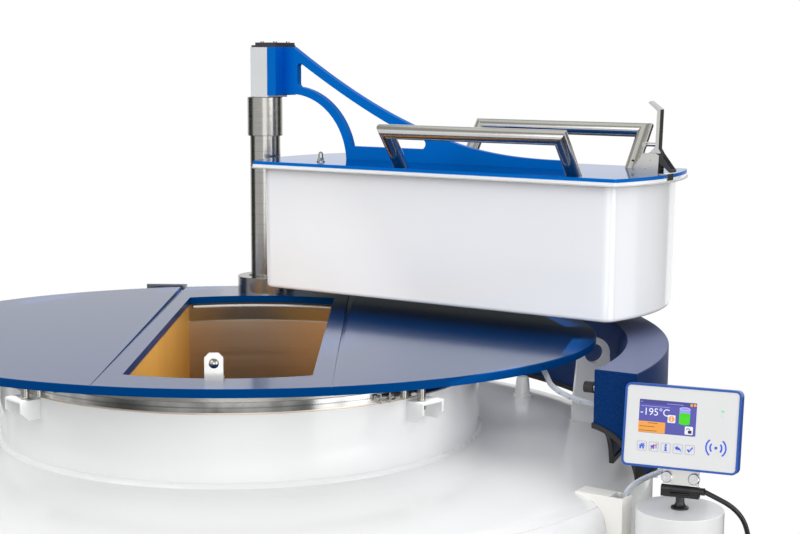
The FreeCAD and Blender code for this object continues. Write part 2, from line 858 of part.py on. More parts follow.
def handle(side):
    """A tube with mitred corners, its legs leaning outwards from the arm."""
    lean = (handle_grip_side - handle_foot_side) / handle_rise
    below = 20.0
    foot_y = side * (handle_foot_side - lean * below)
    start, end = handle_feet
    corners = [V(start, foot_y, lid_top - below), V(start, side * handle_grip_side, lid_top + handle_rise),
               V(end, side * handle_grip_side, lid_top + handle_rise), V(end, foot_y, lid_top - below)]
    shell = mitred(corners, handle_radius).cut(mitred(corners, handle_radius - handle_wall))
    under = block((start - 60, -400, lid_top - 80), (end + 60, 400, lid_top))
    return on_column(shell.cut(under))


def vent_bolt():
    x, y = vent_place[0], -vent_place[1]
    washer = disc(9, lid_top, lid_top + 2, (x, y))
    nut = hexagon(8, 7)
    nut.translate(V(x, y, lid_top + 2))
    stem = disc(5, lid_top + 9, lid_top + 18, (x, y))
    crown = Part.makeSphere(5, V(x, y, lid_top + 17))
    return on_column(join([washer, nut, stem, crown]))


def latch_base():
    low = lid_top
    px, pz = latch_pivot
    plate = block((latch_start, -latch_half, low), (latch_end, latch_half, low + latch_sheet))
    cheek = Part.Face(Part.makePolygon([
        V(latch_start + 4, 0, low), V(latch_end - 2, 0, low), V(latch_end, 0, pz + 8), V(latch_end - 8, 0, pz + 12),
        V(latch_start + 24, 0, pz + 12), V(latch_start + 4, 0, low + 14), V(latch_start + 4, 0, low)]))
    cheeks = []
    for side in (1, -1):
        sheet = cheek.extrude(V(0, -side * latch_sheet, 0))
        sheet.translate(V(0, side * latch_half, 0))
        cheeks.append(sheet)
    pin = rod((px, -latch_half - 2, pz), (px, latch_half + 2, pz), rivet_radius)
    stop = rod((latch_start + 26, -latch_half - 2, low + 12), (latch_start + 26, latch_half + 2, low + 12), 2.5)
    return on_column(join([plate, pin, stop] + cheeks))


def latch_lever():
    px, pz = latch_pivot
    hx, hz = hook_pivot
    half = lever_half
    bar = Part.Face(Part.makePolygon([
        V(px - 7, 0, pz - 7), V(hx + 5, 0, pz - 6), V(hx + 6, 0, hz + 6), V(hx + 1, 0, hz + 14),
        V(hx + 3, 0, lever_top - 16), V(px - 4, 0, lever_top), V(px - 8, 0, lever_top - 3),
        V(hx - 4, 0, lever_top - 19), V(hx - 6, 0, hz + 18), V(px - 7, 0, pz + 8), V(px - 7, 0, pz - 7)]))
    bar = bar.extrude(V(0, 2 * half, 0))
    bar.translate(V(0, -half, 0))
    stud = rod((px - 12, 0, pz + 28), (hx - 4, 0, pz + 28), 4)
    cross = rod((px - 14, -11, pz + 28), (px - 14, 11, pz + 28), 4.5)
    hook_pin = rod((hx, -half - 4, hz), (hx, half + 4, hz), rivet_radius - 0.5)
    bore = rod((px, -half - 1, pz), (px, half + 1, pz), rivet_radius + 0.05)
    return on_column(join([bar, stud, cross]).cut(bore).fuse(hook_pin).removeSplitter())


def latch_hook():
    hx, hz = hook_pivot
    strips = []
    for side in (1, -1):
        outer, inner = side * (lever_half + 3), side * (lever_half + 1)
        strip = Part.Face(Part.makePolygon([
            V(hx - 4, min(outer, inner), hz + 4), V(hx + 5, min(outer, inner), hz + 5),
            V(hx + 31, min(outer, inner), lid_top + 8), V(hx + 26, min(outer, inner), lid_top + 4),
            V(hx - 4, min(outer, inner), hz - 5), V(hx - 4, min(outer, inner), hz + 4)]))
        strips.append(strip.extrude(V(0, 2, 0)))
    bar = rod((hx + 28, -lever_half - 3, lid_top + 7), (hx + 28, lever_half + 3, lid_top + 7), 3)
    bore = rod((hx, -30, hz), (hx, 30, hz), rivet_radius - 0.45)
    return on_column(join(strips + [bar]).cut(bore))


def edge_plate():
    tip = closed_lid_centre + lid_radius + 0.5
    front = block((tip + 0.2, -latch_half, plug_top + 1), (tip + 2.2, latch_half, lid_top + 1.5))
    top = block((tip - 15, -latch_half, lid_top), (tip + 2.2, latch_half, lid_top + 1.5))
    return on_column(join([front, top]))


# Hood

def hood_space(grow):
    """The room inside the hood, or a larger one when grown."""
    turn = math.degrees((hood_sheet - grow) / hood_outer)
    return sector(hood_outer - hood_sheet + grow, hood_inner + hood_sheet - grow, hood_outer_low - 5,
                  hood_top - hood_sheet, hood_start + turn, hood_end - turn)


def notch(radius):
    """A ball that clears the pipework at the hood's front end."""
    centre = spot(neck_axis, notch_place, hood_start, notch_height)
    return Part.makeSphere(radius, centre)


def level_hole():
    start = spot(neck_axis, hood_inner - 20, level_port[0], level_port[1])
    end = spot(neck_axis, hood_inner + 20, level_port[0], level_port[1])
    return rod(start, end, hose_radius + 3)


def hood():
    body = sector(hood_outer, hood_inner, hood_outer_low, hood_top, hood_start, hood_end)
    body = body.makeChamfer(1.5, [edge for edge in body.Edges if edge.BoundBox.ZMin > hood_top - 1])
    trim = sector(hood_inner + 2 * hood_sheet, hood_inner - 5, hood_outer_low - 5, hood_inner_low,
                  hood_start - 1, hood_end + 1)
    holes = [level_hole(), hood_bore(stub_angle, stub_height, hood_inner, stub_radius),
             hood_bore(drain_port[0], drain_port[1], hood_outer, hose_radius + 1)]
    return body.cut([hood_space(0.0), trim, notch(notch_radius)] + holes)


def hood_bore(angle, height, radius, bore):
    return rod(spot(neck_axis, radius - 12, angle, height), spot(neck_axis, radius + 12, angle, height), bore)


def hood_edging(shell):
    """Rubber U-section pushed over the hood's lower edges."""
    walls = sector(hood_outer + edging_side, hood_inner - edging_side, hood_outer_low - edging_web,
                   hood_top - 20, hood_start - 0.2, hood_end)
    walls = walls.cut(hood_space(-edging_side - 0.5))
    ball = notch(notch_radius + edging_lip).cut(notch(notch_radius - edging_web))
    low = sector(hood_outer + edging_side, hood_outer - hood_sheet - edging_side,
                 hood_outer_low - edging_web, hood_outer_low + edging_lip, hood_start - 0.2, hood_end)
    inner = sector(hood_inner + hood_sheet + edging_side, hood_inner - edging_side,
                   hood_inner_low - edging_web, hood_inner_low + edging_lip, hood_start - 0.2, hood_end)
    rails = low.fuse(inner).cut(notch(notch_radius + edging_lip))
    keep = walls.cut(sector(hood_inner + 2 * hood_sheet, hood_inner - 5, hood_outer_low - 20,
                            hood_inner_low - edging_web, hood_start - 1, hood_end + 1))
    return join([keep.common(ball), rails]).cut([shell, outer_form])


def hood_brackets():
    plates = []
    for angle in hood_bracket_angles:
        low, high = hood_inner + 12, hood_outer - 12
        plate = block((low, -2, knuckle_low()), (high, 2, hood_top - hood_sheet))
        shelf = block((low, -15, hood_top - hood_sheet - 4), (high, 15, hood_top - hood_sheet))
        shape = join([plate, shelf])
        shape.translate(V(neck_axis[0], neck_axis[1], 0))
        plates.append(turned_about(shape, neck_axis, angle).cut(outer_form))
    return Part.makeCompound(plates)


def knuckle_low():
    return seam_height - 15


# Pieces on the shoulder

def lifting_lugs():
    lugs = []
    for angle in lug_turns:
        eye = rod((lug_distance, -lug_thickness / 2, lug_eye), (lug_distance, lug_thickness / 2, lug_eye), lug_radius)
        web = Part.Face(Part.makePolygon([
            V(lug_distance - lug_foot, 0, shoulder_height - 30), V(lug_distance + lug_foot, 0, shoulder_height - 30),
            V(lug_distance + lug_foot, 0, shoulder_height + 20), V(lug_distance + lug_radius - 1, 0, lug_eye + 4),
            V(lug_distance - lug_radius + 1, 0, lug_eye + 4), V(lug_distance - lug_foot, 0, shoulder_height + 20),
            V(lug_distance - lug_foot, 0, shoulder_height - 30)])).extrude(V(0, lug_thickness, 0))
        web.translate(V(0, -lug_thickness / 2, 0))
        hole = rod((lug_distance, -20, lug_eye), (lug_distance, 20, lug_eye), lug_hole)
        lug = join([eye, web]).cut(hole)
        lug.rotate(V(0, 0, 0), V(0, 0, 1), angle)
        lugs.append(lug.cut(outer_form))
    return Part.makeCompound(lugs)


def vacuum_port():
    x, y = port_place
    base = disc(port_radius + 3, shoulder_height - 20, shoulder_height + 3, port_place).cut(outer_form)
    cone = Part.makeCone(port_radius, port_radius - 4, port_height, V(x, y, shoulder_height + 3))
    cone = cone.makeFillet(5.0, [edge for edge in cone.Edges
                                 if edge.BoundBox.ZMin > shoulder_height + 2 + port_height])
    return join([base, cone])


def vent_stub():
    low = spot(neck_axis, hood_inner - stub_reach, stub_angle, stub_height)
    high = spot(neck_axis, hood_inner + 12, stub_angle, stub_height)
    return rod(low, high, stub_radius)


def vent_stub_cap():
    low = spot(neck_axis, hood_inner - stub_reach - 3, stub_angle, stub_height)
    high = spot(neck_axis, hood_inner - stub_reach + stub_cap_length, stub_angle, stub_height)
    cap = rod(low, high, stub_cap_radius)
    return cap.makeFillet(2.0, cap.Edges[:1]).cut(rod(
        spot(neck_axis, hood_inner - stub_reach, stub_angle, stub_height), high, stub_radius))


# Hoses and cable: the routes stay as chosen points

def level_hose_points():
    start = spot(neck_axis, rim_outer + 12, level_barb[0], level_barb[1])
    end = spot(neck_axis, hood_inner + 10, level_port[0], level_port[1])
    return [tuple(start), (468, -92, 1123), (505, -150, 1122), (524, -212, 1123), (527, -268, 1120),
            (529, -313, 1112), (549, -342, 1101), (580, -348, 1091), tuple(end)]


def drain_hose_points():
    start = spot(neck_axis, hood_outer + 14, drain_port[0], drain_port[1])
    return [tuple(start), (742, -361, 1040), (757, -379, 1021), (744, -404, 1000), (712, -424, 984),
            (676, -436, 974), (648, -439, 953), (639, -439, 915), (638.5, -439, 870)]


def display_cable_points():
    return [(766, -511, 972), (790, -514, 964), (816, -516, 950), (836, -514, 928), (846, -511, 899),
            (849, -508, 868), (846, -504, 836), (834, -500, 810), (820, -497, 797)]


def hose_fittings(hoses):
    """Barbs that the two hoses are pushed on, the hood's grommet and the vent's stub."""
    level_start = spot(neck_axis, rim_outer + fit_gap, level_barb[0], level_barb[1])
    level_end = spot(neck_axis, rim_outer + 12, level_barb[0], level_barb[1])
    drain_start = spot(neck_axis, hood_outer - hood_sheet, drain_port[0], drain_port[1])
    drain_end = spot(neck_axis, hood_outer + 14, drain_port[0], drain_port[1])
    grommet_in = spot(neck_axis, hood_inner - 3, level_port[0], level_port[1])
    grommet_out = spot(neck_axis, hood_inner + hood_sheet + 3, level_port[0], level_port[1])
    grommet = rod(grommet_in, grommet_out, hose_radius + 3)
    return Part.makeCompound([rod(level_start, level_end, hose_radius + 1),
                              rod(drain_start, drain_end, hose_radius + 1), grommet, vent_stub()]).cut(hoses)


# Duct and service column

def cable_duct():
    half = duct_width / 2
    low, high = vessel_radius - 60, vessel_radius + duct_depth
    body = block((low, -half, duct_bottom), (high, half, duct_top)).cut(outer_form)
    core = block((vessel_radius + duct_wall, -half + duct_wall, duct_bottom + duct_wall),
                 (high - duct_wall, half - duct_wall, duct_top + 5))
    duct = body.cut(core)
    duct.rotate(V(0, 0, 0), V(0, 0, 1), duct_angle)
    return duct


def service_column():
    tube = ring(service_radius, service_radius - service_wall, 0, service_top, service_place)
    lid = disc(service_radius, service_top - service_wall, service_top, service_place)
    foot = disc(service_radius, 0, service_wall, service_place)
    body = join([tube, lid, foot])
    return body.makeFillet(1.2, [edge for edge in body.Edges if edge.BoundBox.ZMin > service_top - 0.5])


def column_straps():
    """Welded brackets that tie the service column to the jacket."""
    angle = math.degrees(math.atan2(service_place[1], service_place[0]))
    distance = math.hypot(*service_place)
    straps = []
    for z in strap_heights:
        low, high = strap_side, strap_side + strap_width
        strap = block((vessel_radius - 20, low, z), (distance, high, z + strap_height))
        strap = strap.cut(block((vessel_radius - 21, low + 4, z + 4), (distance + 1, high - 4, z + strap_height + 1)))
        strap.rotate(V(0, 0, 0), V(0, 0, 1), angle)
        straps.append(strap.cut([outer_form, disc(service_radius, z - 1, z + strap_height + 2, service_place)]))
    return Part.makeCompound(straps)


# Display, made facing -Y about its hinge and carried to the service column

def on_stand(shape):
    shape.rotate(V(0, 0, 0), V(0, 0, 1), display_turn)
    shape.translate(V(service_place[0], service_place[1], service_top + hinge_rise))
    return shape


def tilted(shape):
    shape.rotate(V(0, 0, 0), V(1, 0, 0), display_tilt)
    return on_stand(shape)


def display_stand():
    """Turned foot with a hollow flank, and the fork of the hinge on its neck."""
    low = service_top
    edges = [
        Part.LineSegment(V(0, 0, low), V(stand_foot_radius, 0, low)).toShape(),
        Part.LineSegment(V(stand_foot_radius, 0, low), V(stand_foot_radius, 0, low + 3)).toShape(),
        Part.Arc(V(stand_foot_radius, 0, low + 3), V(stand_neck_radius + 2.2, 0, low + 6),
                 V(stand_neck_radius, 0, low + 12)).toShape(),
        Part.LineSegment(V(stand_neck_radius, 0, low + 12), V(stand_neck_radius, 0, low + stand_height)).toShape(),
        Part.LineSegment(V(stand_neck_radius, 0, low + stand_height), V(0, 0, low + stand_height)).toShape(),
        Part.LineSegment(V(0, 0, low + stand_height), V(0, 0, low)).toShape(),
    ]
    foot = turned(edges, service_place)
    bridge_top = -hinge_radius - 0.6
    bridge = block((-hinge_half, -hinge_radius, stand_height - hinge_rise), (hinge_half, hinge_radius, bridge_top))
    ears = []
    for side in (1, -1):
        low_x, high_x = sorted((side * hinge_ear, side * hinge_half))
        ears.append(block((low_x, -hinge_radius, bridge_top), (high_x, hinge_radius, 0)))
        ears.append(rod((low_x, 0, 0), (high_x, 0, 0), hinge_radius))
    pin = rod((-hinge_half, 0, 0), (hinge_half, 0, 0), hinge_pin_radius)
    return join([foot, on_stand(join([bridge, pin] + ears))])


def display_hinge_plate():
    """The middle knuckle with the steel plate that rises from it."""
    half = hinge_ear - fit_gap
    knuckle = rod((-half, 0, 0), (half, 0, 0), hinge_radius)
    bore = rod((-half - 1, 0, 0), (half + 1, 0, 0), hinge_pin_radius + 0.05)
    web = block((-half, -2, 2), (half, 2, 14))
    plate = block((-30, -2, hinge_radius + 1), (30, 2, display_rise + 30))
    return tilted(join([knuckle, web, plate]).cut(bore))


def thumb_screws():
    screws = []
    for side in (1, -1):
        x = side * thumb_spacing / 2
        z = hinge_radius + 13
        head = rod((x, -12, z), (x, -2, z), thumb_radius)
        head = head.makeChamfer(1.2, head.Edges)
        nut = rod((x, 2, z), (x, 6, z), 6)
        screws += [head, nut]
    return tilted(Part.makeCompound(screws))


def display_body(inset, front, back):
    """A rounded slab behind the display's front plane."""
    half_w, half_h = display_width / 2 - inset, display_height / 2 - inset
    slab = block((-half_w, front, -half_h), (half_w, back, half_h))
    upright = [edge for edge in slab.Edges if edge.BoundBox.YMax - edge.BoundBox.YMin > 0.9 * (back - front)]
    slab = slab.makeFillet(display_corner - min(inset, display_corner - 2), upright)
    slab.translate(V(0, -display_forward, display_rise + display_height / 2))
    return slab


def display_housing():
    body = display_body(0.0, -display_depth / 2, display_depth / 2)
    pocket = display_body(frame_width, -display_depth / 2 - 1, -display_depth / 2 + glass_thickness + glass_inset)
    return tilted(body.cut(pocket))


def display_glass():
    top = -display_depth / 2 + glass_inset
    slab = display_body(frame_width + 0.2, top, top + glass_thickness)
    return tilted(slab.cut(screen_block(top - 1, top + screen_thickness)))


def screen_block(front, back):
    half_w, half_h = screen_size[0] / 2, screen_size[1] / 2
    x, z = screen_place
    screen = block((x - half_w, front, z - half_h), (x + half_w, back, z + half_h))
    screen.translate(V(0, -display_forward, display_rise + display_height / 2))
    return screen


def display_screen():
    top = -display_depth / 2 + glass_inset
    return tilted(screen_block(top, top + screen_thickness))


def cable_glands(cable):
    """The strain relief at the hinge's end, and the gland on the service column."""
    hinge_gland = on_stand(rod((hinge_half, 0, 0), (hinge_half + 9, 0, 0), cable_radius + 2))
    end = V(*display_cable_points()[-1])
    wall = V(service_place[0], service_place[1], end.z - 4)
    out = end - wall
    out.z = 0
    out.normalize()
    start = wall + out * (service_radius - 1)
    gland = Part.makeCylinder(cable_radius + 3, (end - start).Length, start, end - start)
    gland = gland.cut(disc(service_radius, end.z - 60, end.z + 60, service_place))
    return Part.makeCompound([hinge_gland, gland]).cut(cable)


def cable_route():
    """The cable's points, from the hinge's end to the service column."""
    start = on_stand(Part.Vertex(V(hinge_half + 9, 0, 0))).Point
    return [tuple(start)] + display_cable_points()[1:]


# Carousel

def carousel_pivot():
    low = inner_bottom + inner_wall
    return join([disc(2.2 * pivot_radius, low, deck_height - fit_gap),
                 disc(pivot_radius, low, deck_height + hub_height)])


def rack_carousel():
    deck = disc(deck_radius, deck_height, deck_height + deck_thickness)
    hub = disc(hub_radius, deck_height, deck_height + hub_height)
    rim = ring(deck_radius, deck_radius - divider_thickness, deck_height, deck_height + divider_height)
    walls = []
    for i in range(divider_count):
        wall = block((hub_radius - 5, -divider_thickness / 2, deck_height),
                     (deck_radius - 1, divider_thickness / 2, deck_height + divider_height))
        wall.rotate(V(0, 0, 0), V(0, 0, 1), 360.0 * i / divider_count)
        walls.append(wall)
    bore = disc(pivot_radius + pivot_fit, deck_height - 1, deck_height + hub_height + 1)
    return join([deck, hub, rim] + walls).cut(bore)


def build():
    shell = hood()
    vessel = outer_vessel()
    hoses = [swept(level_hose_points(), hose_radius), swept(drain_hose_points(), hose_radius)]
    cable = swept(cable_route(), cable_radius)
    return {
        "base_plinth": base_plinth(),
        "outer_vessel": vessel,
        "inner_vessel": inner_vessel(),
        "vacuum_spacer": vacuum_spacer(),
        "neck_rim": neck_rim(),
        "neck_band": neck_band(),
        "band_bolt": band_bolt(),
        "insulation_left": insulation(-1),
        "insulation_right": insulation(1),
        "cover_seal": cover_seal(),
        "cover_plate": cover_plate(),
        "drip_gutters": drip_gutters(),
        "cover_brackets": at_brackets(cover_bracket),
        "cover_posts": at_brackets(cover_post),
        "latch_striker": latch_striker(),
        "striker_bolt": striker_bolt(),
        "column_socket": column_socket(vessel),
        "column_flange": column_flange(),
        "guide_bush": guide_bush(),
        "gas_spring_body": gas_spring_body(),
        "gas_spring_rod": gas_spring_rod(),
        "lift_tube": lift_tube(),
        "column_sleeve": column_sleeve(),
        "head_block": head_block(),
        "arm_plate": arm_plate(),
        "column_cap": column_cap(),
        "head_screws": head_screws(),
        "lid_plate": lid_plate_solid(),
        "lid_layer": lid_layer_solid(),
        "lid_seal": lid_seal_solid(),
        "lid_plug": lid_plug(),
        "front_handle": handle(-1),
        "rear_handle": handle(1),
        "vent_bolt": vent_bolt(),
        "latch_base": latch_base(),
        "latch_lever": latch_lever(),
        "latch_hook": latch_hook(),
        "edge_plate": edge_plate(),
        "hood": shell,
        "hood_edging": hood_edging(shell),
        "hood_brackets": hood_brackets(),
        "lifting_lugs": lifting_lugs(),
        "vacuum_port": vacuum_port(),
        "vent_stub_cap": vent_stub_cap(),
        "level_hose": hoses[0],
        "drain_hose": hoses[1],
        "hose_fittings": hose_fittings(hoses),
        "cable_duct": cable_duct(),
        "service_column": service_column(),
        "column_straps": column_straps(),
        "display_stand": display_stand(),
        "display_hinge": display_hinge_plate(),
        "thumb_screws": thumb_screws(),
        "display_housing": display_housing(),
        "display_glass": display_glass(),
        "display_screen": display_screen(),
        "display_cable": cable,
        "cable_glands": cable_glands(cable),
        "carousel_pivot": carousel_pivot(),
        "rack_carousel": rack_carousel(),
    }


os.makedirs("parts", exist_ok=True)
for name, shape in build().items():
    print(name, len(shape.Solids), round(shape.Volume / 1000), shape.isValid())
    shape.exportStep("parts/" + name + ".step")
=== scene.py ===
"""Finishes, printed display, hoses, cable, stage and camera of a liquid nitrogen storage tank."""
import math

import bmesh
import bpy
from bpy.props import FloatProperty, FloatVectorProperty, PointerProperty, StringProperty
from mathutils import Matrix, Vector


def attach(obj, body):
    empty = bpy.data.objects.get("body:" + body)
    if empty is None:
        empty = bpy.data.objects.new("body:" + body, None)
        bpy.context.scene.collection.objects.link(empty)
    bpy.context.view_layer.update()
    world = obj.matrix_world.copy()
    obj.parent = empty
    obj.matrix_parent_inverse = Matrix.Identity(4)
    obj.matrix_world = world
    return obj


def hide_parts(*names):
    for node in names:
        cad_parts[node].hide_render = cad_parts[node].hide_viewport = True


bl_info = {
    "name": "Liquid Nitrogen Storage Tank",
    "version": (1, 0, 0),
    "blender": (4, 5, 0),
    "location": "3D View > Sidebar > Storage Tank",
    "description": "Dresses the tank, its lid, display and pipework, and sets the studio round it",
    "category": "Object",
}

MM = 0.001
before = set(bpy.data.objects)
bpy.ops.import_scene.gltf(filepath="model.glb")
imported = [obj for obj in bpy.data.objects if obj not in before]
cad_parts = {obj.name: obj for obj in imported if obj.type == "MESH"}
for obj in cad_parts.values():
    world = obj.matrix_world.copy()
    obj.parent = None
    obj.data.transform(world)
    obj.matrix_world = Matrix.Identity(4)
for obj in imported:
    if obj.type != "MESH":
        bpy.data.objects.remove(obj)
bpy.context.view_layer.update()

# Lengths of the real object, in millimetres, as in the part's source
NECK_X = -52.0
COLUMN = (-52.0, 530.0)
LID_TURN = 57.33
LID_TOP = 1466.0
DISPLAY_PLACE = (732.4, -496.0, 973.2)
DISPLAY_TURN = -21.0
DISPLAY_TILT = -10.0
DISPLAY_CENTRE = 35.0 + 69.5
GLASS_FRONT = -31.0
HINGE_END = 41.0
CABLE_RADIUS = 4.25
HOSE_RADIUS = 5.0
HANDLE_FEET = (460.0, 855.0)
HANDLE_FOOT_SIDE = 136.0
HANDLE_LEAN = 60.0 / 75.0
HANDLE_RADIUS = 15.0
SCREW_RISE = 14.0
SCREW_RADIUS = 3.0
BAND_HEIGHT = 1103.2
BAND_SLOTS = 95.0
BEAD_RADIUS = 448.0
BEAD_HEIGHT = 1128.0
BEAD_TUBE = 3.4
BEAD_HALF_ANGLE = 20.4
BEAD_STEPS = 12
FIRST_MARK = 12.0
MARK_STEP = 20.0
DRAIN_RINGS = (90.0, 100.0)

CABLE_ROUTE = [(790, -514, 964), (816, -516, 950), (836, -514, 928), (846, -511, 899), (849, -508, 868),
               (846, -504, 836), (834, -500, 810), (820, -497, 797)]
LEVEL_ROUTE = [(468, -92, 1123), (505, -150, 1122), (524, -212, 1123), (527, -268, 1120), (529, -313, 1112),
               (549, -342, 1101), (580, -348, 1091)]
DRAIN_ROUTE = [(742, -361, 1040), (757, -379, 1021), (744, -404, 1000), (712, -424, 984), (676, -436, 974),
               (648, -439, 953), (639, -439, 915), (638.5, -439, 870)]

# Places on the printed face, in millimetres right and up from its centre
SCREEN = (-71.5, -11.7, 24.5, 43.3)
KEY_START = -63.5
KEY_STEP = 20.1
KEY_HEIGHT = -34.6
KEY_SIZE = 16.0
WAVE_PLACE = (59.4, -27.3)
LAMPS = ((67.2, 33.6), (67.2, 25.2))

# The camera that was fitted to the photograph, in metres and radians
CAMERA_PLACE = (0.2596, -2.9748, 1.69)
CAMERA_PITCH = 0.137
CAMERA_ROLL = 0.0049

# Cards that only reflections see: name, place and size in metres, and tone
CARD_TONES = {"black": (0.012, 0.013, 0.016), "dark": (0.07, 0.075, 0.07), "grey": (0.42, 0.42, 0.38),
              "pale": (0.75, 0.75, 0.76)}
CARDS = (
    ("floor_card", (0.0, 0.0, 0.0008), (9.0, 9.0), "dark"),
    ("ceiling_card", (0.0, 0.0, 5.2), (12.0, 12.0), "grey"),
    ("left_card", (-5.0, 1.9, 1.6), (4.6, 4.2), "dark"),
    ("front_left_card", (0.55, -6.6, 1.6), (2.2, 4.2), "grey"),
    ("right_card", (4.7, -1.0, 1.6), (1.2, 4.2), "black"),
    ("back_right_card", (4.6, 2.5, 1.6), (3.4, 4.2), "dark"),
    ("back_left_card", (-1.8, 6.0, 2.35), (2.0, 1.0), "pale"),
    ("low_back_right_card", (0.45, 1.05, 1.29), (1.3, 0.26), "dark"),
)

# Small lamps that lift the shade under the cover, in metres and degrees
COVER_LAMP_RING = (0.61, 0.51)
COVER_LAMP_HEIGHT = 1.13
COVER_LAMP_ANGLES = [-45.0 + 30.0 * i for i in range(10)]


# Shader groups

def new_group(name, inputs, outputs):
    group = bpy.data.node_groups.new(name, "ShaderNodeTree")
    for label, kind, value in inputs:
        socket = group.interface.new_socket(label, in_out="INPUT", socket_type=kind)
        socket.default_value = value
    for label, kind in outputs:
        group.interface.new_socket(label, in_out="OUTPUT", socket_type=kind)
    return group, group.nodes.new("NodeGroupInput"), group.nodes.new("NodeGroupOutput")


def math_node(tree, operation, first, second=None):
    """A maths node with its inputs linked or set; returns its output."""
    node = tree.nodes.new("ShaderNodeMath")
    node.operation = operation
    for socket, value in zip(node.inputs, (first, second)):
        if value is None:
            continue
        if isinstance(value, (int, float)):
            socket.default_value = value
        else:
            tree.links.new(value, socket)
    return node.outputs[0]


def remap(tree, value, source, target):
    """A clamped map from one range to another; returns its output."""
    node = tree.nodes.new("ShaderNodeMapRange")
    tree.links.new(value, node.inputs["Value"])
    for label, number in zip(("From Min", "From Max", "To Min", "To Max"), source + target):
        if isinstance(number, (int, float)):
            node.inputs[label].default_value = number
        else:
            tree.links.new(number, node.inputs[label])
    return node.outputs["Result"]


def noise(tree, vector, scale, detail=3.0, roughness=0.55):
    node = tree.nodes.new("ShaderNodeTexNoise")
    tree.links.new(vector, node.inputs["Vector"])
    if isinstance(scale, (int, float)):
        node.inputs["Scale"].default_value = scale
    else:
        tree.links.new(scale, node.inputs["Scale"])
    node.inputs["Detail"].default_value = detail
    node.inputs["Roughness"].default_value = roughness
    return node.outputs["Fac"]


def object_vector(tree):
    return tree.nodes.new("ShaderNodeTexCoord").outputs["Object"]


def grinding_lines():
    """Fine lines left by a grinding belt; Stretch is how often they repeat along each turned axis."""
    settings = [("Stretch", "NodeSocketVector", (4.0, 4.0, 900.0)), ("Turn", "NodeSocketFloat", 0.0)]
    group, inputs, outputs = new_group("Grinding Lines", settings, [("Lines", "NodeSocketFloat")])
    turned = group.nodes.new("ShaderNodeVectorRotate")
    turned.rotation_type = "Z_AXIS"
    group.links.new(object_vector(group), turned.inputs["Vector"])
    group.links.new(inputs.outputs["Turn"], turned.inputs["Angle"])
    scaled = group.nodes.new("ShaderNodeVectorMath")
    scaled.operation = "MULTIPLY"
    group.links.new(turned.outputs[0], scaled.inputs[0])
    group.links.new(inputs.outputs["Stretch"], scaled.inputs[1])
    lines = remap(group, noise(group, scaled.outputs[0], 1.0, 4.0, 0.6), (0.3, 0.7), (0.0, 1.0))
    group.links.new(lines, outputs.inputs["Lines"])
    return group


def cloudy_tone():
    """Slow changes of tone over a surface, round a middle of 1."""
    group, inputs, outputs = new_group(
        "Cloudy Tone", [("Scale", "NodeSocketFloat", 6.0), ("Amount", "NodeSocketFloat", 0.05)],
        [("Tone", "NodeSocketFloat"), ("Cloud", "NodeSocketFloat")])
    slow = noise(group, object_vector(group), inputs.outputs["Scale"])
    cloud = remap(group, slow, (0.3, 0.7), (0.0, 1.0))
    low = math_node(group, "SUBTRACT", 1.0, inputs.outputs["Amount"])
    group.links.new(remap(group, cloud, (0.0, 1.0), (low, 1.0)), outputs.inputs["Tone"])
    group.links.new(cloud, outputs.inputs["Cloud"])
    return group


def fine_grain():
    """The tight grain of a textured or sprayed coat."""
    group, inputs, outputs = new_group(
        "Fine Grain", [("Scale", "NodeSocketFloat", 700.0)], [("Grain", "NodeSocketFloat")])
    grain = noise(group, object_vector(group), inputs.outputs["Scale"], 2.0, 0.6)
    group.links.new(remap(group, grain, (0.35, 0.65), (0.0, 1.0)), outputs.inputs["Grain"])
    return group


def level_faces():
    """Masks of the faces that look up and of those that look down."""
    masks = [("Up", "NodeSocketFloat"), ("Down", "NodeSocketFloat")]
    group, _, outputs = new_group("Level Faces", [], masks)
    split = group.nodes.new("ShaderNodeSeparateXYZ")
    group.links.new(group.nodes.new("ShaderNodeNewGeometry").outputs["Normal"], split.inputs[0])
    group.links.new(remap(group, split.outputs["Z"], (0.75, 0.95), (0.0, 1.0)), outputs.inputs["Up"])
    group.links.new(remap(group, split.outputs["Z"], (-0.6, -0.9), (0.0, 1.0)), outputs.inputs["Down"])
    return group


def round_bands():
    """Narrow dark rings at even heights, for a tube turned in steps."""
    group, inputs, outputs = new_group(
        "Round Bands", [("Pitch", "NodeSocketFloat", 0.024), ("Width", "NodeSocketFloat", 0.06)],
        [("Band", "NodeSocketFloat")])
    split = group.nodes.new("ShaderNodeSeparateXYZ")
    group.links.new(object_vector(group), split.inputs[0])
    turns = math_node(group, "DIVIDE", split.outputs["Z"], inputs.outputs["Pitch"])
    part = math_node(group, "FRACT", turns)
    away = math_node(group, "ABSOLUTE", math_node(group, "SUBTRACT", part, 0.5))
    group.links.new(remap(group, away, (inputs.outputs["Width"], 0.0), (0.0, 1.0)), outputs.inputs["Band"])
    return group


GROUP_MAKERS = {
    "lines": grinding_lines, "cloud": cloudy_tone, "grain": fine_grain, "level": level_faces,
    "bands": round_bands,
}
groups = {}


def use_group(tree, key, **values):
    if key not in groups:
        groups[key] = GROUP_MAKERS[key]()
    node = tree.nodes.new("ShaderNodeGroup")
    node.node_tree = groups[key]
    for label, value in values.items():
        node.inputs[label.capitalize()].default_value = value
    return node.outputs


# Materials

COAT_ROUGHNESS = 0.05
BLUE_SHEEN = (0.0, 0.35, 1.0, 1.0)


def plain_finish(name, colour, roughness, metallic=0.0, coat=0.0):
    material = bpy.data.materials.new(name)
    material.use_nodes = True
    surface = material.node_tree.nodes["Principled BSDF"]
    surface.inputs["Base Color"].default_value = (*colour[:3], 1.0)
    surface.inputs["Roughness"].default_value = roughness
    surface.inputs["Metallic"].default_value = metallic
    surface.inputs["Coat Weight"].default_value = coat
    surface.inputs["Coat Roughness"].default_value = COAT_ROUGHNESS
    material.diffuse_color = (*colour[:3], 1.0)
    return material, material.node_tree, surface


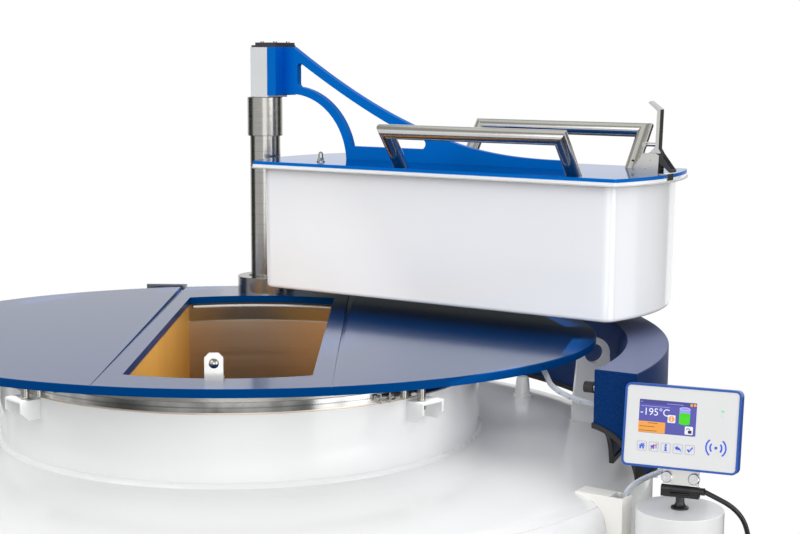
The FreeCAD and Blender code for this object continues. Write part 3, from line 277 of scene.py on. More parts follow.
def colour_mix(tree, factor, low, high, blend="MIX"):
    node = tree.nodes.new("ShaderNodeMix")
    node.data_type = "RGBA"
    node.blend_type = blend
    if isinstance(factor, (int, float)):
        node.inputs["Factor"].default_value = factor
    else:
        tree.links.new(factor, node.inputs["Factor"])
    for label, value in (("A", low), ("B", high)):
        socket = [s for s in node.inputs if s.name == label and s.type == "RGBA"][0]
        if isinstance(value, bpy.types.NodeSocket):
            tree.links.new(value, socket)
        else:
            socket.default_value = (*value[:3], 1.0)
    return [s for s in node.outputs if s.type == "RGBA"][0]


def clouded(tree, surface, colour, tone):
    """Base colour times the slow tone."""
    mixed = colour_mix(tree, 1.0, colour, tone, "MULTIPLY")
    tree.links.new(mixed, surface.inputs["Base Color"])


def darker(colour, share):
    return tuple(share * part for part in colour[:3])


def bump(tree, surface, height, strength, distance):
    node = tree.nodes.new("ShaderNodeBump")
    node.inputs["Strength"].default_value = strength
    node.inputs["Distance"].default_value = distance
    tree.links.new(height, node.inputs["Height"])
    tree.links.new(node.outputs["Normal"], surface.inputs["Normal"])


def enamel(name, colour, roughness=0.2):
    """Gloss white enamel with a faint orange peel and slow changes of tone."""
    material, tree, surface = plain_finish(name, colour, roughness, coat=0.25)
    tone = use_group(tree, "cloud", scale=1.6, amount=0.03)
    clouded(tree, surface, colour, tone["Tone"])
    peel = use_group(tree, "grain", scale=60.0)
    bump(tree, surface, peel["Grain"], 0.012, 0.001)
    return material


def ground_steel(name, colour, stretch, roughness=(0.2, 0.28), turn=0.0, contrast=0.14):
    """Stainless steel ground one way; stretch and turn say which."""
    material, tree, surface = plain_finish(name, colour, roughness[0], metallic=1.0)
    lines = use_group(tree, "lines", stretch=stretch, turn=math.radians(turn))["Lines"]
    cloud = use_group(tree, "cloud", scale=7.0, amount=0.08)
    tree.links.new(remap(tree, lines, (0.0, 1.0), roughness), surface.inputs["Roughness"])
    lined = colour_mix(tree, lines, darker(colour, 1.0 - contrast), colour)
    clouded(tree, surface, lined, cloud["Tone"])
    bump(tree, surface, lines, 0.03, 0.0002)
    return material


def lift_tube_steel(name, colour):
    """The lifting tube's steel with its evenly spaced faint rings."""
    material, tree, surface = plain_finish(name, colour, 0.2, metallic=1.0)
    band = use_group(tree, "bands", pitch=0.024, width=0.035)["Band"]
    lines = use_group(tree, "lines", stretch=(3.0, 3.0, 1800.0))["Lines"]
    lined = colour_mix(tree, lines, darker(colour, 0.86), colour)
    ringed = colour_mix(tree, math_node(tree, "MULTIPLY", band, 0.5), lined, darker(colour, 0.5))
    tree.links.new(ringed, surface.inputs["Base Color"])
    tree.links.new(remap(tree, lines, (0.0, 1.0), (0.16, 0.24)), surface.inputs["Roughness"])
    height = math_node(tree, "SUBTRACT", math_node(tree, "MULTIPLY", lines, 0.2), band)
    bump(tree, surface, height, 0.1, 0.0004)
    return material


def two_faced(name, top, side, top_roughness, side_roughness, metallic=0.0, specular=0.5,
              tint=(1.0, 1.0, 1.0, 1.0), under=None):
    """A coat whose upward faces differ from its edges, and whose underside can be bare."""
    material, tree, surface = plain_finish(name, side, side_roughness, metallic=metallic)
    surface.inputs["Specular IOR Level"].default_value = specular
    surface.inputs["Specular Tint"].default_value = tint
    up = use_group(tree, "level")["Up"]
    tone = use_group(tree, "cloud", scale=2.2, amount=0.06)
    mixed = colour_mix(tree, up, side, top)
    if under:
        mixed = colour_mix(tree, use_group(tree, "level")["Down"], mixed, under)
    clouded(tree, surface, mixed, tone["Tone"])
    roughness = remap(tree, up, (0.0, 1.0), (side_roughness, top_roughness))
    tree.links.new(roughness, surface.inputs["Roughness"])
    return material


def textured_blue(name, colour, pale):
    """Powder coat with a sparkle of paler grains, thicker on the faces that look up."""
    material, tree, surface = plain_finish(name, colour, 0.45)
    surface.inputs["Specular Tint"].default_value = (0.0, 0.3, 1.0, 1.0)
    grain = use_group(tree, "grain", scale=900.0)["Grain"]
    up = use_group(tree, "level")["Up"]
    spots = remap(tree, grain, (0.62, 0.95), (0.0, 0.55))
    share = math_node(tree, "MAXIMUM", up, 0.15)
    lit = math_node(tree, "MULTIPLY", share, spots)
    based = colour_mix(tree, up, colour, (0.12, 0.135, 0.25))
    tree.links.new(colour_mix(tree, lit, based, pale), surface.inputs["Base Color"])
    tree.links.new(remap(tree, grain, (0.0, 1.0), (0.36, 0.5)), surface.inputs["Roughness"])
    bump(tree, surface, grain, 0.15, 0.0004)
    return material


def coated_foam(name, colour):
    """Amber coating brushed upright over foam."""
    material, tree, surface = plain_finish(name, colour, 0.35, coat=0.35)
    lines = use_group(tree, "lines", stretch=(60.0, 60.0, 2.0))["Lines"]
    deep = (colour[0] * 0.86, colour[1] * 0.76, colour[2] * 0.6)
    tree.links.new(colour_mix(tree, lines, deep, colour), surface.inputs["Base Color"])
    tree.links.new(remap(tree, lines, (0.0, 1.0), (0.28, 0.45)), surface.inputs["Roughness"])
    return material


def soft_rubber(name, colour, roughness=0.6):
    material, tree, surface = plain_finish(name, colour, roughness)
    tone = use_group(tree, "cloud", scale=30.0, amount=0.15)
    clouded(tree, surface, colour, tone["Tone"])
    bump(tree, surface, use_group(tree, "grain", scale=500.0)["Grain"], 0.08, 0.0004)
    return material


def moulded_plastic(name, colour, roughness=0.4, coat=0.0):
    material, tree, surface = plain_finish(name, colour, roughness, coat=coat)
    tone = use_group(tree, "cloud", scale=8.0, amount=0.04)
    clouded(tree, surface, colour, tone["Tone"])
    tree.links.new(remap(tree, tone["Cloud"], (0.0, 1.0), (roughness, roughness + 0.08)),
                   surface.inputs["Roughness"])
    return material


def white_laminate(name, colour):
    """Glossy white sheet; the floor of the plug, which looks down, is painted dark grey and matt as painted
    shade.
    """
    material, tree, surface = plain_finish(name, colour, 0.16, coat=0.3)
    down = use_group(tree, "level")["Down"]
    tone = use_group(tree, "cloud", scale=2.5, amount=0.025)["Tone"]
    toned = colour_mix(tree, 1.0, colour, tone, "MULTIPLY")
    # Painted shade: faces that look down get a dark grey base colour in place of the white.
    tree.links.new(colour_mix(tree, down, toned, (0.2, 0.2, 0.205)), surface.inputs["Base Color"])
    for label, gloss, matt in (("Roughness", 0.16, 0.95), ("Coat Weight", 0.3, 0.0)):
        tree.links.new(remap(tree, down, (0.0, 1.0), (gloss, matt)), surface.inputs[label])
    return material


def hinge_finish(name, colour):
    """Steel plate over a black knuckle."""
    material, tree, surface = plain_finish(name, colour, 0.3, metallic=1.0)
    split = tree.nodes.new("ShaderNodeSeparateXYZ")
    tree.links.new(object_vector(tree), split.inputs[0])
    height = DISPLAY_PLACE[2] * MM
    plate = remap(tree, split.outputs["Z"], (height + 0.0072, height + 0.0078), (0.0, 1.0))
    tree.links.new(colour_mix(tree, plate, (0.012, 0.012, 0.013), colour), surface.inputs["Base Color"])
    tree.links.new(plate, surface.inputs["Metallic"])
    return material


def clear_tube(name, colour):
    material, _, surface = plain_finish(name, colour, 0.12)
    surface.inputs["Transmission Weight"].default_value = 0.55
    surface.inputs["IOR"].default_value = 1.4
    return material


def slotted_band(name, colour):
    """A clamp band: bright strip with a row of punched slots, darkened in the colour as painted shade."""
    material, tree, surface = plain_finish(name, colour, 0.13, metallic=1.0)
    split = tree.nodes.new("ShaderNodeSeparateXYZ")
    tree.links.new(object_vector(tree), split.inputs[0])
    east = math_node(tree, "SUBTRACT", split.outputs["X"], NECK_X * MM)
    angle = math_node(tree, "ARCTAN2", split.outputs["Y"], east)
    part = math_node(tree, "FRACT", math_node(tree, "MULTIPLY", angle, BAND_SLOTS))
    away = math_node(tree, "ABSOLUTE", math_node(tree, "SUBTRACT", part, 0.5))
    dash = remap(tree, away, (0.34, 0.26), (0.0, 1.0))
    height = math_node(tree, "ABSOLUTE", math_node(tree, "SUBTRACT", split.outputs["Z"], BAND_HEIGHT * MM))
    row = remap(tree, height, (0.0016, 0.0009), (0.0, 1.0))
    slot = math_node(tree, "MULTIPLY", dash, row)
    patches = use_group(tree, "cloud", scale=9.0, amount=0.8)["Tone"]
    toned = colour_mix(tree, 1.0, colour, patches, "MULTIPLY")
    # Painted shade: the slots are near-black marks in the colour, drawn in place of holes.
    shade = math_node(tree, "MULTIPLY", slot, 0.7)
    tree.links.new(colour_mix(tree, shade, toned, (0.05, 0.05, 0.05)), surface.inputs["Base Color"])
    return material


def lit_print(name, colour, glow):
    """Ink or screen colour that shines a little by itself: the backlight on the screen, and painted light
    on printed ink and on an unlit lamp.
    """
    material, _, surface = plain_finish(name, darker(colour, 1.0 - glow), 0.3)
    surface.inputs["Emission Color"].default_value = (*colour[:3], 1.0)
    surface.inputs["Emission Strength"].default_value = glow
    return material


def paint_nodes(material, *names):
    for name in names:
        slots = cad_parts[name].material_slots
        if not slots:
            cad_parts[name].data.materials.append(material)
        for slot in slots:
            slot.material = material


# Shapes

def new_piece(name, mesh_or_curve, material, body):
    piece = bpy.data.objects.new(name, mesh_or_curve)
    bpy.context.scene.collection.objects.link(piece)
    mesh_or_curve.materials.append(material)
    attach(piece, body)
    return piece


def mesh_from(form, name):
    mesh = bpy.data.meshes.new(name)
    form.to_mesh(mesh)
    form.free()
    return mesh


def add_peg(form, radius, length, place):
    bmesh.ops.create_cone(form, cap_ends=True, segments=20, radius1=radius, radius2=radius, depth=length,
                          matrix=place)


def lid_matrix():
    """From the lid's own frame, in millimetres, to the open lid."""
    turn = Matrix.Rotation(math.radians(LID_TURN - 90.0), 4, "Z")
    return Matrix.Scale(MM, 4) @ Matrix.Translation((*COLUMN, 0.0)) @ turn


def display_matrix():
    """From the printed face, in millimetres right and up from its centre, to the display."""
    turn = Matrix.Rotation(math.radians(DISPLAY_TURN), 4, "Z")
    tilt = Matrix.Rotation(math.radians(DISPLAY_TILT), 4, "X")
    upright = Matrix.Rotation(math.radians(90.0), 4, "X")
    face = Matrix.Translation((0.0, GLASS_FRONT, DISPLAY_CENTRE)) @ upright
    return Matrix.Scale(MM, 4) @ Matrix.Translation(DISPLAY_PLACE) @ turn @ tilt @ face


def printed(name, polygons, material, lift=0.15):
    """Flat printed or inlaid shapes on the display's face."""
    form = bmesh.new()
    for polygon in polygons:
        low = [form.verts.new((x, y, lift - 0.15)) for x, y in polygon]
        high = [form.verts.new((x, y, lift)) for x, y in polygon]
        form.faces.new(high)
        form.faces.new(low[::-1])
        for i in range(len(polygon)):
            j = (i + 1) % len(polygon)
            form.faces.new((low[i], low[j], high[j], high[i]))
    bmesh.ops.recalc_face_normals(form, faces=form.faces)
    form.transform(display_matrix())
    return new_piece(name, mesh_from(form, name), material, "display")


def printed_text(name, words, size, place, material, lift=0.3):
    curve = bpy.data.curves.new(name, "FONT")
    curve.body = words
    curve.size = size
    curve.extrude = 0.07
    text = bpy.data.objects.new(name + "_outline", curve)
    bpy.context.scene.collection.objects.link(text)
    bpy.context.view_layer.update()
    mesh = bpy.data.meshes.new_from_object(text.evaluated_get(bpy.context.evaluated_depsgraph_get()))
    bpy.data.objects.remove(text)
    mesh.transform(display_matrix() @ Matrix.Translation((place[0], place[1], lift)))
    mesh.name = name
    return new_piece(name, mesh, material, "display")


def box_outline(left, low, right, high):
    return [(left, low), (right, low), (right, high), (left, high)]


def rounded_box(left, low, right, high, radius, steps=5):
    points = []
    corners = [(right - radius, low + radius, -90), (right - radius, high - radius, 0),
               (left + radius, high - radius, 90), (left + radius, low + radius, 180)]
    for x, y, start in corners:
        for i in range(steps + 1):
            angle = math.radians(start + 90.0 * i / steps)
            points.append((x + radius * math.cos(angle), y + radius * math.sin(angle)))
    return points


def disc_outline(x, y, width, height, steps=28):
    return [(x + width * math.cos(math.tau * i / steps), y + height * math.sin(math.tau * i / steps))
            for i in range(steps)]


def frame_strips(outer, inner):
    """The ring between two outlines with the same number of points, as four-sided strips."""
    count = len(outer)
    return [[outer[i], outer[(i + 1) % count], inner[(i + 1) % count], inner[i]] for i in range(count)]


def arc_strips(x, y, radius, width, start, end, steps=12):
    strips = []
    for i in range(steps):
        first = math.radians(start + (end - start) * i / steps)
        last = math.radians(start + (end - start) * (i + 1) / steps)
        corners = ((radius, first), (radius + width, first), (radius + width, last), (radius, last))
        strips.append([(x + r * math.cos(a), y + r * math.sin(a)) for r, a in corners])
    return strips


def oval_rim(x, y, width, height):
    """The thin rim line of the tank symbol's oval."""
    outer = disc_outline(x, y, width, height)
    inner = disc_outline(x, y, width - 0.5, height - 0.5)
    return frame_strips(outer, inner)


# Signs on the keys, round the middle of each key

def shifted(outlines, x, y):
    return [[(x + across, y + up) for across, up in outline] for outline in outlines]


def house_sign():
    """Roof, two walls with the lintel between them, and a chimney."""
    return [[(-5.4, 0.0), (0.0, 4.8), (5.4, 0.0), (4.5, -0.9), (0.0, 3.1), (-4.5, -0.9)],
            [(-3.8, -5.0), (-1.1, -5.0), (-1.1, 1.4), (-3.8, -1.0)],
            [(1.1, -5.0), (3.8, -5.0), (3.8, -1.0), (1.1, 1.4)],
            [(-1.1, -1.5), (1.1, -1.5), (1.1, 1.6), (0.0, 2.4), (-1.1, 1.6)],
            box_outline(2.4, 2.2, 4.0, 4.6)]


def speaker_sign():
    cone = [(-5.2, -1.8), (-2.6, -1.8), (0.8, -4.6), (0.8, 4.6), (-2.6, 1.8), (-5.2, 1.8)]
    near = arc_strips(0.6, 0.0, 2.4, 0.7, -45.0, 45.0, 8)
    far = arc_strips(0.6, 0.0, 4.2, 0.7, -45.0, 45.0, 8)
    return [cone] + near + far


def info_sign():
    return [disc_outline(0.0, 4.4, 1.7, 1.7, 18), box_outline(-1.4, -4.2, 1.4, 1.9),
            box_outline(-2.6, -5.4, 2.6, -4.0), box_outline(-2.6, 1.0, 0.2, 2.1)]


def back_sign():
    return [[(-5.4, 1.2), (-0.4, 5.4), (-0.4, -3.0)],
            [(-0.6, 3.0), (2.8, 2.0), (5.2, -1.0), (5.0, -4.8), (3.2, -2.0), (-0.6, -0.8)]]


def tick_sign():
    return [[(-5.0, -0.2), (-1.6, -4.8), (-0.8, -1.2), (-3.2, 1.4)],
            [(-1.6, -4.8), (5.4, 3.6), (3.6, 5.2), (-1.0, -1.2)]]


# Routes

def smooth_route(points, steps=12):
    """Samples of the curve that a NURBS of order 3 draws over these points."""
    points = [Vector(point) for point in points]
    samples = []
    start = points[0]
    for i in range(1, len(points) - 1):
        end = points[-1] if i == len(points) - 2 else (points[i] + points[i + 1]) / 2
        for k in range(steps):
            t = k / steps
            samples.append((1 - t) ** 2 * start + 2 * t * (1 - t) * points[i] + t * t * end)
        start = end
    return samples + [points[-1]]


def route_length(points):
    samples = smooth_route(points, 40)
    return sum((b - a).length for a, b in zip(samples, samples[1:]))


def round_neck(radius, angle, height):
    turn = math.radians(angle)
    return (NECK_X + radius * math.cos(turn), radius * math.sin(turn), height)


def level_points():
    return [round_neck(480.0, -8.0, 1121.0)] + LEVEL_ROUTE + [round_neck(765.0, -28.3, 1084.0)]


def drain_points():
    return [round_neck(848.0, -24.0, 1040.0)] + DRAIN_ROUTE


def cable_points():
    turn = math.radians(DISPLAY_TURN)
    x, y, z = DISPLAY_PLACE
    return [(x + HINGE_END * math.cos(turn), y + HINGE_END * math.sin(turn), z)] + CABLE_ROUTE


def tube_curve(name, points, radius):
    """One open NURBS of order 3 over the route's points, given in millimetres."""
    curve = bpy.data.curves.new(name, "CURVE")
    curve.dimensions = "3D"
    curve.bevel_depth = radius * MM
    curve.bevel_resolution = 5
    curve.use_fill_caps = True
    curve.resolution_u = 12
    spline = curve.splines.new("NURBS")
    spline.points.add(len(points) - 1)
    for control, point in zip(spline.points, points):
        control.co = (*(Vector(point) * MM), 1.0)
    spline.order_u = 3
    spline.use_endpoint_u = True
    return curve


def rings_on_route(name, points, radius, places, width, material, shift=(0.0, 0.0, 0.0)):
    """Short sleeves round a hose at the given distances along it; shifted ones show on one side only."""
    samples = smooth_route(points, 30)
    form = bmesh.new()
    walked = 0.0
    places = list(places)
    for a, b in zip(samples, samples[1:]):
        step = (b - a).length
        while places and walked + step >= places[0]:
            centre = a.lerp(b, (places[0] - walked) / step) + Vector(shift)
            turn = (b - a).to_track_quat("Z", "Y").to_matrix().to_4x4()
            add_peg(form, radius, width, Matrix.Translation(centre) @ turn)
            places.pop(0)
        walked += step
    form.transform(Matrix.Scale(MM, 4))
    return new_piece(name, mesh_from(form, name), material, "tank")


# Stage

def flat_card(name, place, facing, size, material):
    """An upright or level rectangle of the given width and height."""
    mesh = bpy.data.meshes.new(name)
    x, y = size[0] / 2, size[1] / 2
    mesh.from_pydata([(-x, -y, 0), (x, -y, 0), (x, y, 0), (-x, y, 0)], [], [(0, 1, 2, 3)])
    mesh.materials.append(material)
    card = bpy.data.objects.new(name, mesh)
    bpy.context.scene.collection.objects.link(card)
    facing = Vector(facing)
    if facing.xy.length > 0.0:
        facing.z = 0.0
    card.location = place
    card.rotation_euler = facing.to_track_quat("Z", "Y").to_euler()
    return card


def card_glow(name, colour):
    material = bpy.data.materials.new(name)
    material.use_nodes = True
    tree = material.node_tree
    tree.nodes.remove(tree.nodes["Principled BSDF"])
    glow = tree.nodes.new("ShaderNodeEmission")
    glow.inputs["Color"].default_value = (*colour, 1.0)
    tree.links.new(glow.outputs[0], tree.nodes["Material Output"].inputs["Surface"])
    return material


def seen_rays(tree):
    """One for rays from the camera, in reflections and through clear tubes; otherwise zero."""
    rays = tree.nodes.new("ShaderNodeLightPath")
    seen = math_node(tree, "MAXIMUM", rays.outputs["Is Camera Ray"], rays.outputs["Is Glossy Ray"])
    return math_node(tree, "MAXIMUM", seen, rays.outputs["Is Transmission Ray"])


def floor_white():
    """White floor that takes the tank's shadow and runs into the white background."""
    material, tree, surface = plain_finish("floor_white", (0.9, 0.9, 0.9), 0.8)
    length = tree.nodes.new("ShaderNodeVectorMath")
    length.operation = "LENGTH"
    tree.links.new(object_vector(tree), length.inputs[0])
    away = remap(tree, length.outputs["Value"], (1.2, 2.3), (0.0, 1.0))
    glow = tree.nodes.new("ShaderNodeEmission")
    tree.links.new(seen_rays(tree), glow.inputs["Strength"])
    mix = tree.nodes.new("ShaderNodeMixShader")
    tree.links.new(away, mix.inputs[0])
    tree.links.new(surface.outputs[0], mix.inputs[1])
    tree.links.new(glow.outputs[0], mix.inputs[2])
    tree.links.new(mix.outputs[0], tree.nodes["Material Output"].inputs["Surface"])
    return material


def set_world(strength):
    """Even light on the object, with white behind it for the camera and in reflections."""
    world = bpy.data.worlds.new("studio_sky")
    bpy.context.scene.world = world
    world.use_nodes = True
    tree = world.node_tree
    background = tree.nodes["Background"]
    background.inputs["Color"].default_value = (1.0, 1.0, 1.0, 1.0)
    power = remap(tree, seen_rays(tree), (0.0, 1.0), (strength, 1.0))
    tree.links.new(power, background.inputs["Strength"])


def add_softbox(name, place, target, size, power):
    light = bpy.data.lights.new(name, "AREA")
    light.energy = power
    light.size = size
    lamp = bpy.data.objects.new(name, light)
    bpy.context.scene.collection.objects.link(lamp)
    lamp.location = place
    lamp.rotation_euler = (Vector(target) - Vector(place)).to_track_quat("-Z", "Y").to_euler()
    return lamp


def hide_lamp(lamp):
    """A lamp that is seen neither by the camera nor in reflections."""
    lamp.visible_camera = False
    lamp.visible_glossy = False


def add_camera(lens):
    """The photograph's viewpoint: slightly above the cover, turned a little down."""
    right = Vector((1.0, 0.0, 0.0))
    up = Vector((0.0, math.sin(CAMERA_PITCH), math.cos(CAMERA_PITCH)))
    back = Vector((0.0, -math.cos(CAMERA_PITCH), math.sin(CAMERA_PITCH)))
    level_right = math.cos(CAMERA_ROLL) * right + math.sin(CAMERA_ROLL) * up
    level_up = -math.sin(CAMERA_ROLL) * right + math.cos(CAMERA_ROLL) * up
    data = bpy.data.cameras.new("studio_camera")
    data.lens = lens
    data.sensor_width = 36.0
    data.sensor_fit = "HORIZONTAL"
    data.clip_end = 100.0
    camera = bpy.data.objects.new("studio_camera", data)
    bpy.context.scene.collection.objects.link(camera)
    turn = Matrix((level_right, level_up, back)).transposed().to_4x4()
    camera.matrix_world = Matrix.Translation(CAMERA_PLACE) @ turn
    bpy.context.scene.camera = camera


# Settings

class TankFinishes(bpy.types.PropertyGroup):
    enamel: FloatVectorProperty(
        name="Enamel", description="Colour of the white vessel", subtype="COLOR",
        default=(0.79, 0.792, 0.796), min=0.0, max=1.0)
    cover_top: FloatVectorProperty(
        name="Cover Top", description="Colour of the cover's satin face", subtype="COLOR",
        default=(0.002, 0.04, 0.16), min=0.0, max=1.0)
    cover_edge: FloatVectorProperty(
        name="Cover Edge", description="Colour of the cover's rim and slot", subtype="COLOR",
        default=(0.0, 0.045, 0.19), min=0.0, max=1.0)
    anodised: FloatVectorProperty(
        name="Anodised Blue", description="Colour of the arm and lid plate", subtype="COLOR",
        default=(0.0, 0.155, 0.6), min=0.0, max=1.0)
    hood: FloatVectorProperty(
        name="Hood Blue", description="Colour of the pipework hood", subtype="COLOR",
        default=(0.0, 0.018, 0.1), min=0.0, max=1.0)
    steel: FloatVectorProperty(
        name="Ground Steel", description="Colour of the ground stainless steel", subtype="COLOR",
        default=(0.37, 0.36, 0.34), min=0.0, max=1.0)
    bright: FloatVectorProperty(
        name="Bright Steel", description="Colour of polished steel", subtype="COLOR",
        default=(0.62, 0.615, 0.6), min=0.0, max=1.0)
    amber: FloatVectorProperty(
        name="Amber Coating", description="Colour of the insulation beside the slot", subtype="COLOR",
        default=(1.0, 0.58, 0.13), min=0.0, max=1.0)


class TankDisplay(bpy.types.PropertyGroup):
    reading: StringProperty(
        name="Reading", description="Temperature that the screen shows", default="-195°C")
    glow: FloatProperty(
        name="Glow", description="How strongly the screen shines", default=0.45, min=0.0, max=1.0)
    screen: FloatVectorProperty(
        name="Screen", description="Colour behind the reading", subtype="COLOR",
        default=(0.085, 0.085, 0.4), min=0.0, max=1.0)
    ink: FloatVectorProperty(
        name="Ink", description="Colour of the printed key symbols", subtype="COLOR",
        default=(0.01, 0.09, 0.7), min=0.0, max=1.0)


class TankStudio(bpy.types.PropertyGroup):
    sky: FloatProperty(
        name="Sky", description="Strength of the even light", default=1.0, min=0.0, max=3.0)
    key: FloatProperty(
        name="Key Light", description="Power of the main softbox", default=32.0, min=0.0, unit="POWER")
    fill: FloatProperty(
        name="Fill Light", description="Power of the second softbox", default=13.0, min=0.0, unit="POWER")
    low: FloatProperty(
        name="Low Light", description="Power of the softbox beside the camera", default=44.0, min=0.0,
        unit="POWER")
    under: FloatProperty(
        name="Cover Lights", description="Power of each small light under the cover's edge", default=0.17,
        min=0.0, unit="POWER")
    side: FloatProperty(
        name="Side Light", description="Power of the softbox low on the right", default=40.0, min=0.0,
        unit="POWER")
    lens: FloatProperty(
        name="Lens", description="Focal length of the camera", default=68.4, min=10.0, unit="CAMERA")


# Operators

class VesselFinish(bpy.types.Operator):
    """Give the vessel, its brackets, lugs and straps their white enamel"""
    bl_idname = "tank.vessel_finish"
    bl_label = "Vessel"

    def execute(self, context):
        finishes = context.scene.tank_finishes
        white = enamel("white_enamel", finishes.enamel)
        paint_nodes(white, "outer_vessel", "base_plinth", "cover_brackets", "hood_brackets", "lifting_lugs",
                    "vacuum_port", "service_column", "column_straps", "column_socket", "vacuum_spacer")
        return {"FINISHED"}


class CoverFinish(bpy.types.Operator):
    """Give the cover its satin face and blue rim, and the neck its band and seal"""
    bl_idname = "tank.cover_finish"
    bl_label = "Cover and Neck"

    def execute(self, context):
        finishes = context.scene.tank_finishes
        cover = two_faced("cover_satin", finishes.cover_top, finishes.cover_edge, 0.3, 0.3, specular=0.15,
                          tint=BLUE_SHEEN, under=(0.85, 0.85, 0.85))
        surface = cover.node_tree.nodes["Principled BSDF"]
        surface.inputs["Coat Roughness"].default_value = 0.13
        tree = cover.node_tree
        coat = remap(tree, use_group(tree, "level")["Up"], (0.0, 1.0), (0.0, 0.75))
        tree.links.new(coat, surface.inputs["Coat Weight"])
        paint_nodes(cover, "cover_plate")
        paint_nodes(slotted_band("clamp_band", (0.5, 0.5, 0.49)), "neck_band")
        paint_nodes(soft_rubber("cover_seal_rubber", (0.06, 0.035, 0.018)), "cover_seal")
        turned_steel = ground_steel("turned_steel", finishes.steel, (2.0, 2.0, 1500.0))
        paint_nodes(turned_steel, "neck_rim", "cover_posts", "column_flange")
        flat_steel = ground_steel("flat_steel", finishes.bright, (30.0, 30.0, 1200.0))
        paint_nodes(flat_steel, "latch_striker", "drip_gutters")
        bright, _, _ = plain_finish("bright_steel", (0.42, 0.41, 0.39), 0.16, metallic=1.0)
        paint_nodes(bright, "band_bolt", "striker_bolt", "head_screws", "vent_bolt", "hose_fittings")
        return {"FINISHED"}


class InsideFinish(bpy.types.Operator):
    """Give the inner vessel, its insulation and its carousel their finishes"""
    bl_idname = "tank.inside_finish"
    bl_label = "Inside"

    def execute(self, context):
        finishes = context.scene.tank_finishes
        throat = ground_steel("throat_steel", (0.72, 0.61, 0.5), (1.5, 1.5, 400.0), (0.3, 0.4),
                              contrast=0.08)
        paint_nodes(throat, "inner_vessel", "rack_carousel", "carousel_pivot")
        paint_nodes(coated_foam("amber_coating", finishes.amber), "insulation_left", "insulation_right")
        return {"FINISHED"}


class ThroatBeads(bpy.types.Operator):
    """Roll the bead at the back and the front of the slot's throat; its pale, only slightly metallic steel
    makes it partly a real bead and partly a painted highlight.
    """
    bl_idname = "tank.throat_beads"
    bl_label = "Throat Beads"

    def execute(self, context):
        # Pale and only slightly metallic so the bead shows bright whatever it reflects: partly painted
        # highlight.
        rolled, _, _ = plain_finish("bead_steel_painted_highlight", (0.75, 0.74, 0.71), 0.25, metallic=0.35)
        step = 2.0 * BEAD_HALF_ANGLE / BEAD_STEPS
        for name, middle in (("back_bead", 90.0), ("front_bead", -90.0)):
            angles = [middle - BEAD_HALF_ANGLE + step * i for i in range(BEAD_STEPS + 1)]
            points = [round_neck(BEAD_RADIUS, angle, BEAD_HEIGHT) for angle in angles]
            new_piece(name, tube_curve(name, points, BEAD_TUBE), rolled, "tank")
        return {"FINISHED"}


class ColumnFinish(bpy.types.Operator):
    """Give the lifting column, its sleeve and its head their steel"""
    bl_idname = "tank.column_finish"
    bl_label = "Column"

    def execute(self, context):
        finishes = context.scene.tank_finishes
        paint_nodes(lift_tube_steel("ringed_steel", finishes.steel), "lift_tube")
        sleeve = ground_steel("sleeve_steel", finishes.steel, (3.0, 3.0, 1500.0))
        paint_nodes(sleeve, "column_sleeve")
        block = ground_steel("block_steel", (0.84, 0.85, 0.86), (700.0, 700.0, 12.0), (0.34, 0.44),
                             contrast=0.06)
        block.node_tree.nodes["Principled BSDF"].inputs["Metallic"].default_value = 0.35
        paint_nodes(block, "head_block")
        dark, _, _ = plain_finish("dark_satin", (0.03, 0.032, 0.038), 0.42)
        paint_nodes(dark, "column_cap", "guide_bush", "gas_spring_body", "latch_hook")
        chrome, _, _ = plain_finish("rod_chrome", finishes.bright, 0.08, metallic=1.0)
        paint_nodes(chrome, "gas_spring_rod")
        return {"FINISHED"}


class LidFinish(bpy.types.Operator):
    """Give the lid, its arm, handles and latch their finishes"""
    bl_idname = "tank.lid_finish"
    bl_label = "Lid"

    def execute(self, context):
        finishes = context.scene.tank_finishes
        blue = two_faced("anodised_blue", finishes.anodised, finishes.anodised, 0.38, 0.38,
                         metallic=0.4, specular=0.4, tint=BLUE_SHEEN)
        paint_nodes(blue, "arm_plate")
        polished = two_faced("polished_blue", (0.0, 0.05, 0.2), finishes.anodised, 0.07, 0.35,
                             metallic=0.25, specular=0.4, tint=BLUE_SHEEN)
        paint_nodes(polished, "lid_plate")
        paint_nodes(white_laminate("white_laminate", (0.93, 0.945, 0.97)), "lid_plug", "lid_layer")
        paint_nodes(soft_rubber("grey_silicone", (0.66, 0.65, 0.63), 0.5), "lid_seal")
        bars = ground_steel("handle_steel", finishes.bright, (2.0, 900.0, 900.0), (0.14, 0.2),
                            90.0 - LID_TURN, 0.1)
        paint_nodes(bars, "front_handle", "rear_handle", "latch_base", "latch_lever", "edge_plate")
        return {"FINISHED"}


class HandleScrews(bpy.types.Operator):
    """Set the small socket screws in the feet of the handles"""
    bl_idname = "tank.handle_screws"
    bl_label = "Handle Screws"

    def execute(self, context):
        dark, _, _ = plain_finish("socket_screw_black", (0.012, 0.012, 0.014), 0.35, metallic=0.4)
        form = bmesh.new()
        for side in (-1, 1):
            for foot in HANDLE_FEET:
                y = side * (HANDLE_FOOT_SIDE + HANDLE_LEAN * SCREW_RISE - 1.0)
                place = Matrix.Translation((foot + 4.0, y, LID_TOP + SCREW_RISE))
                out = Matrix.Rotation(math.radians(90.0), 4, "X")
                add_peg(form, SCREW_RADIUS, 2.0 * (HANDLE_RADIUS + SCREW_RADIUS), place @ out)
        form.transform(lid_matrix())
        new_piece("handle_screws", mesh_from(form, "handle_screws"), dark, "lid")
        return {"FINISHED"}


class HoodFinish(bpy.types.Operator):
    """Give the hood its textured blue and its rubber edging"""
    bl_idname = "tank.hood_finish"
    bl_label = "Hood"

    def execute(self, context):
        finishes = context.scene.tank_finishes
        paint_nodes(textured_blue("textured_blue", finishes.hood, (0.3, 0.34, 0.52)), "hood")
        rubber = soft_rubber("edging_rubber", (0.016, 0.016, 0.017), 0.5)
        paint_nodes(rubber, "hood_edging", "vent_stub_cap")
        cream = moulded_plastic("cream_plastic", (0.88, 0.87, 0.83), 0.42)
        paint_nodes(cream, "cable_duct")
        return {"FINISHED"}


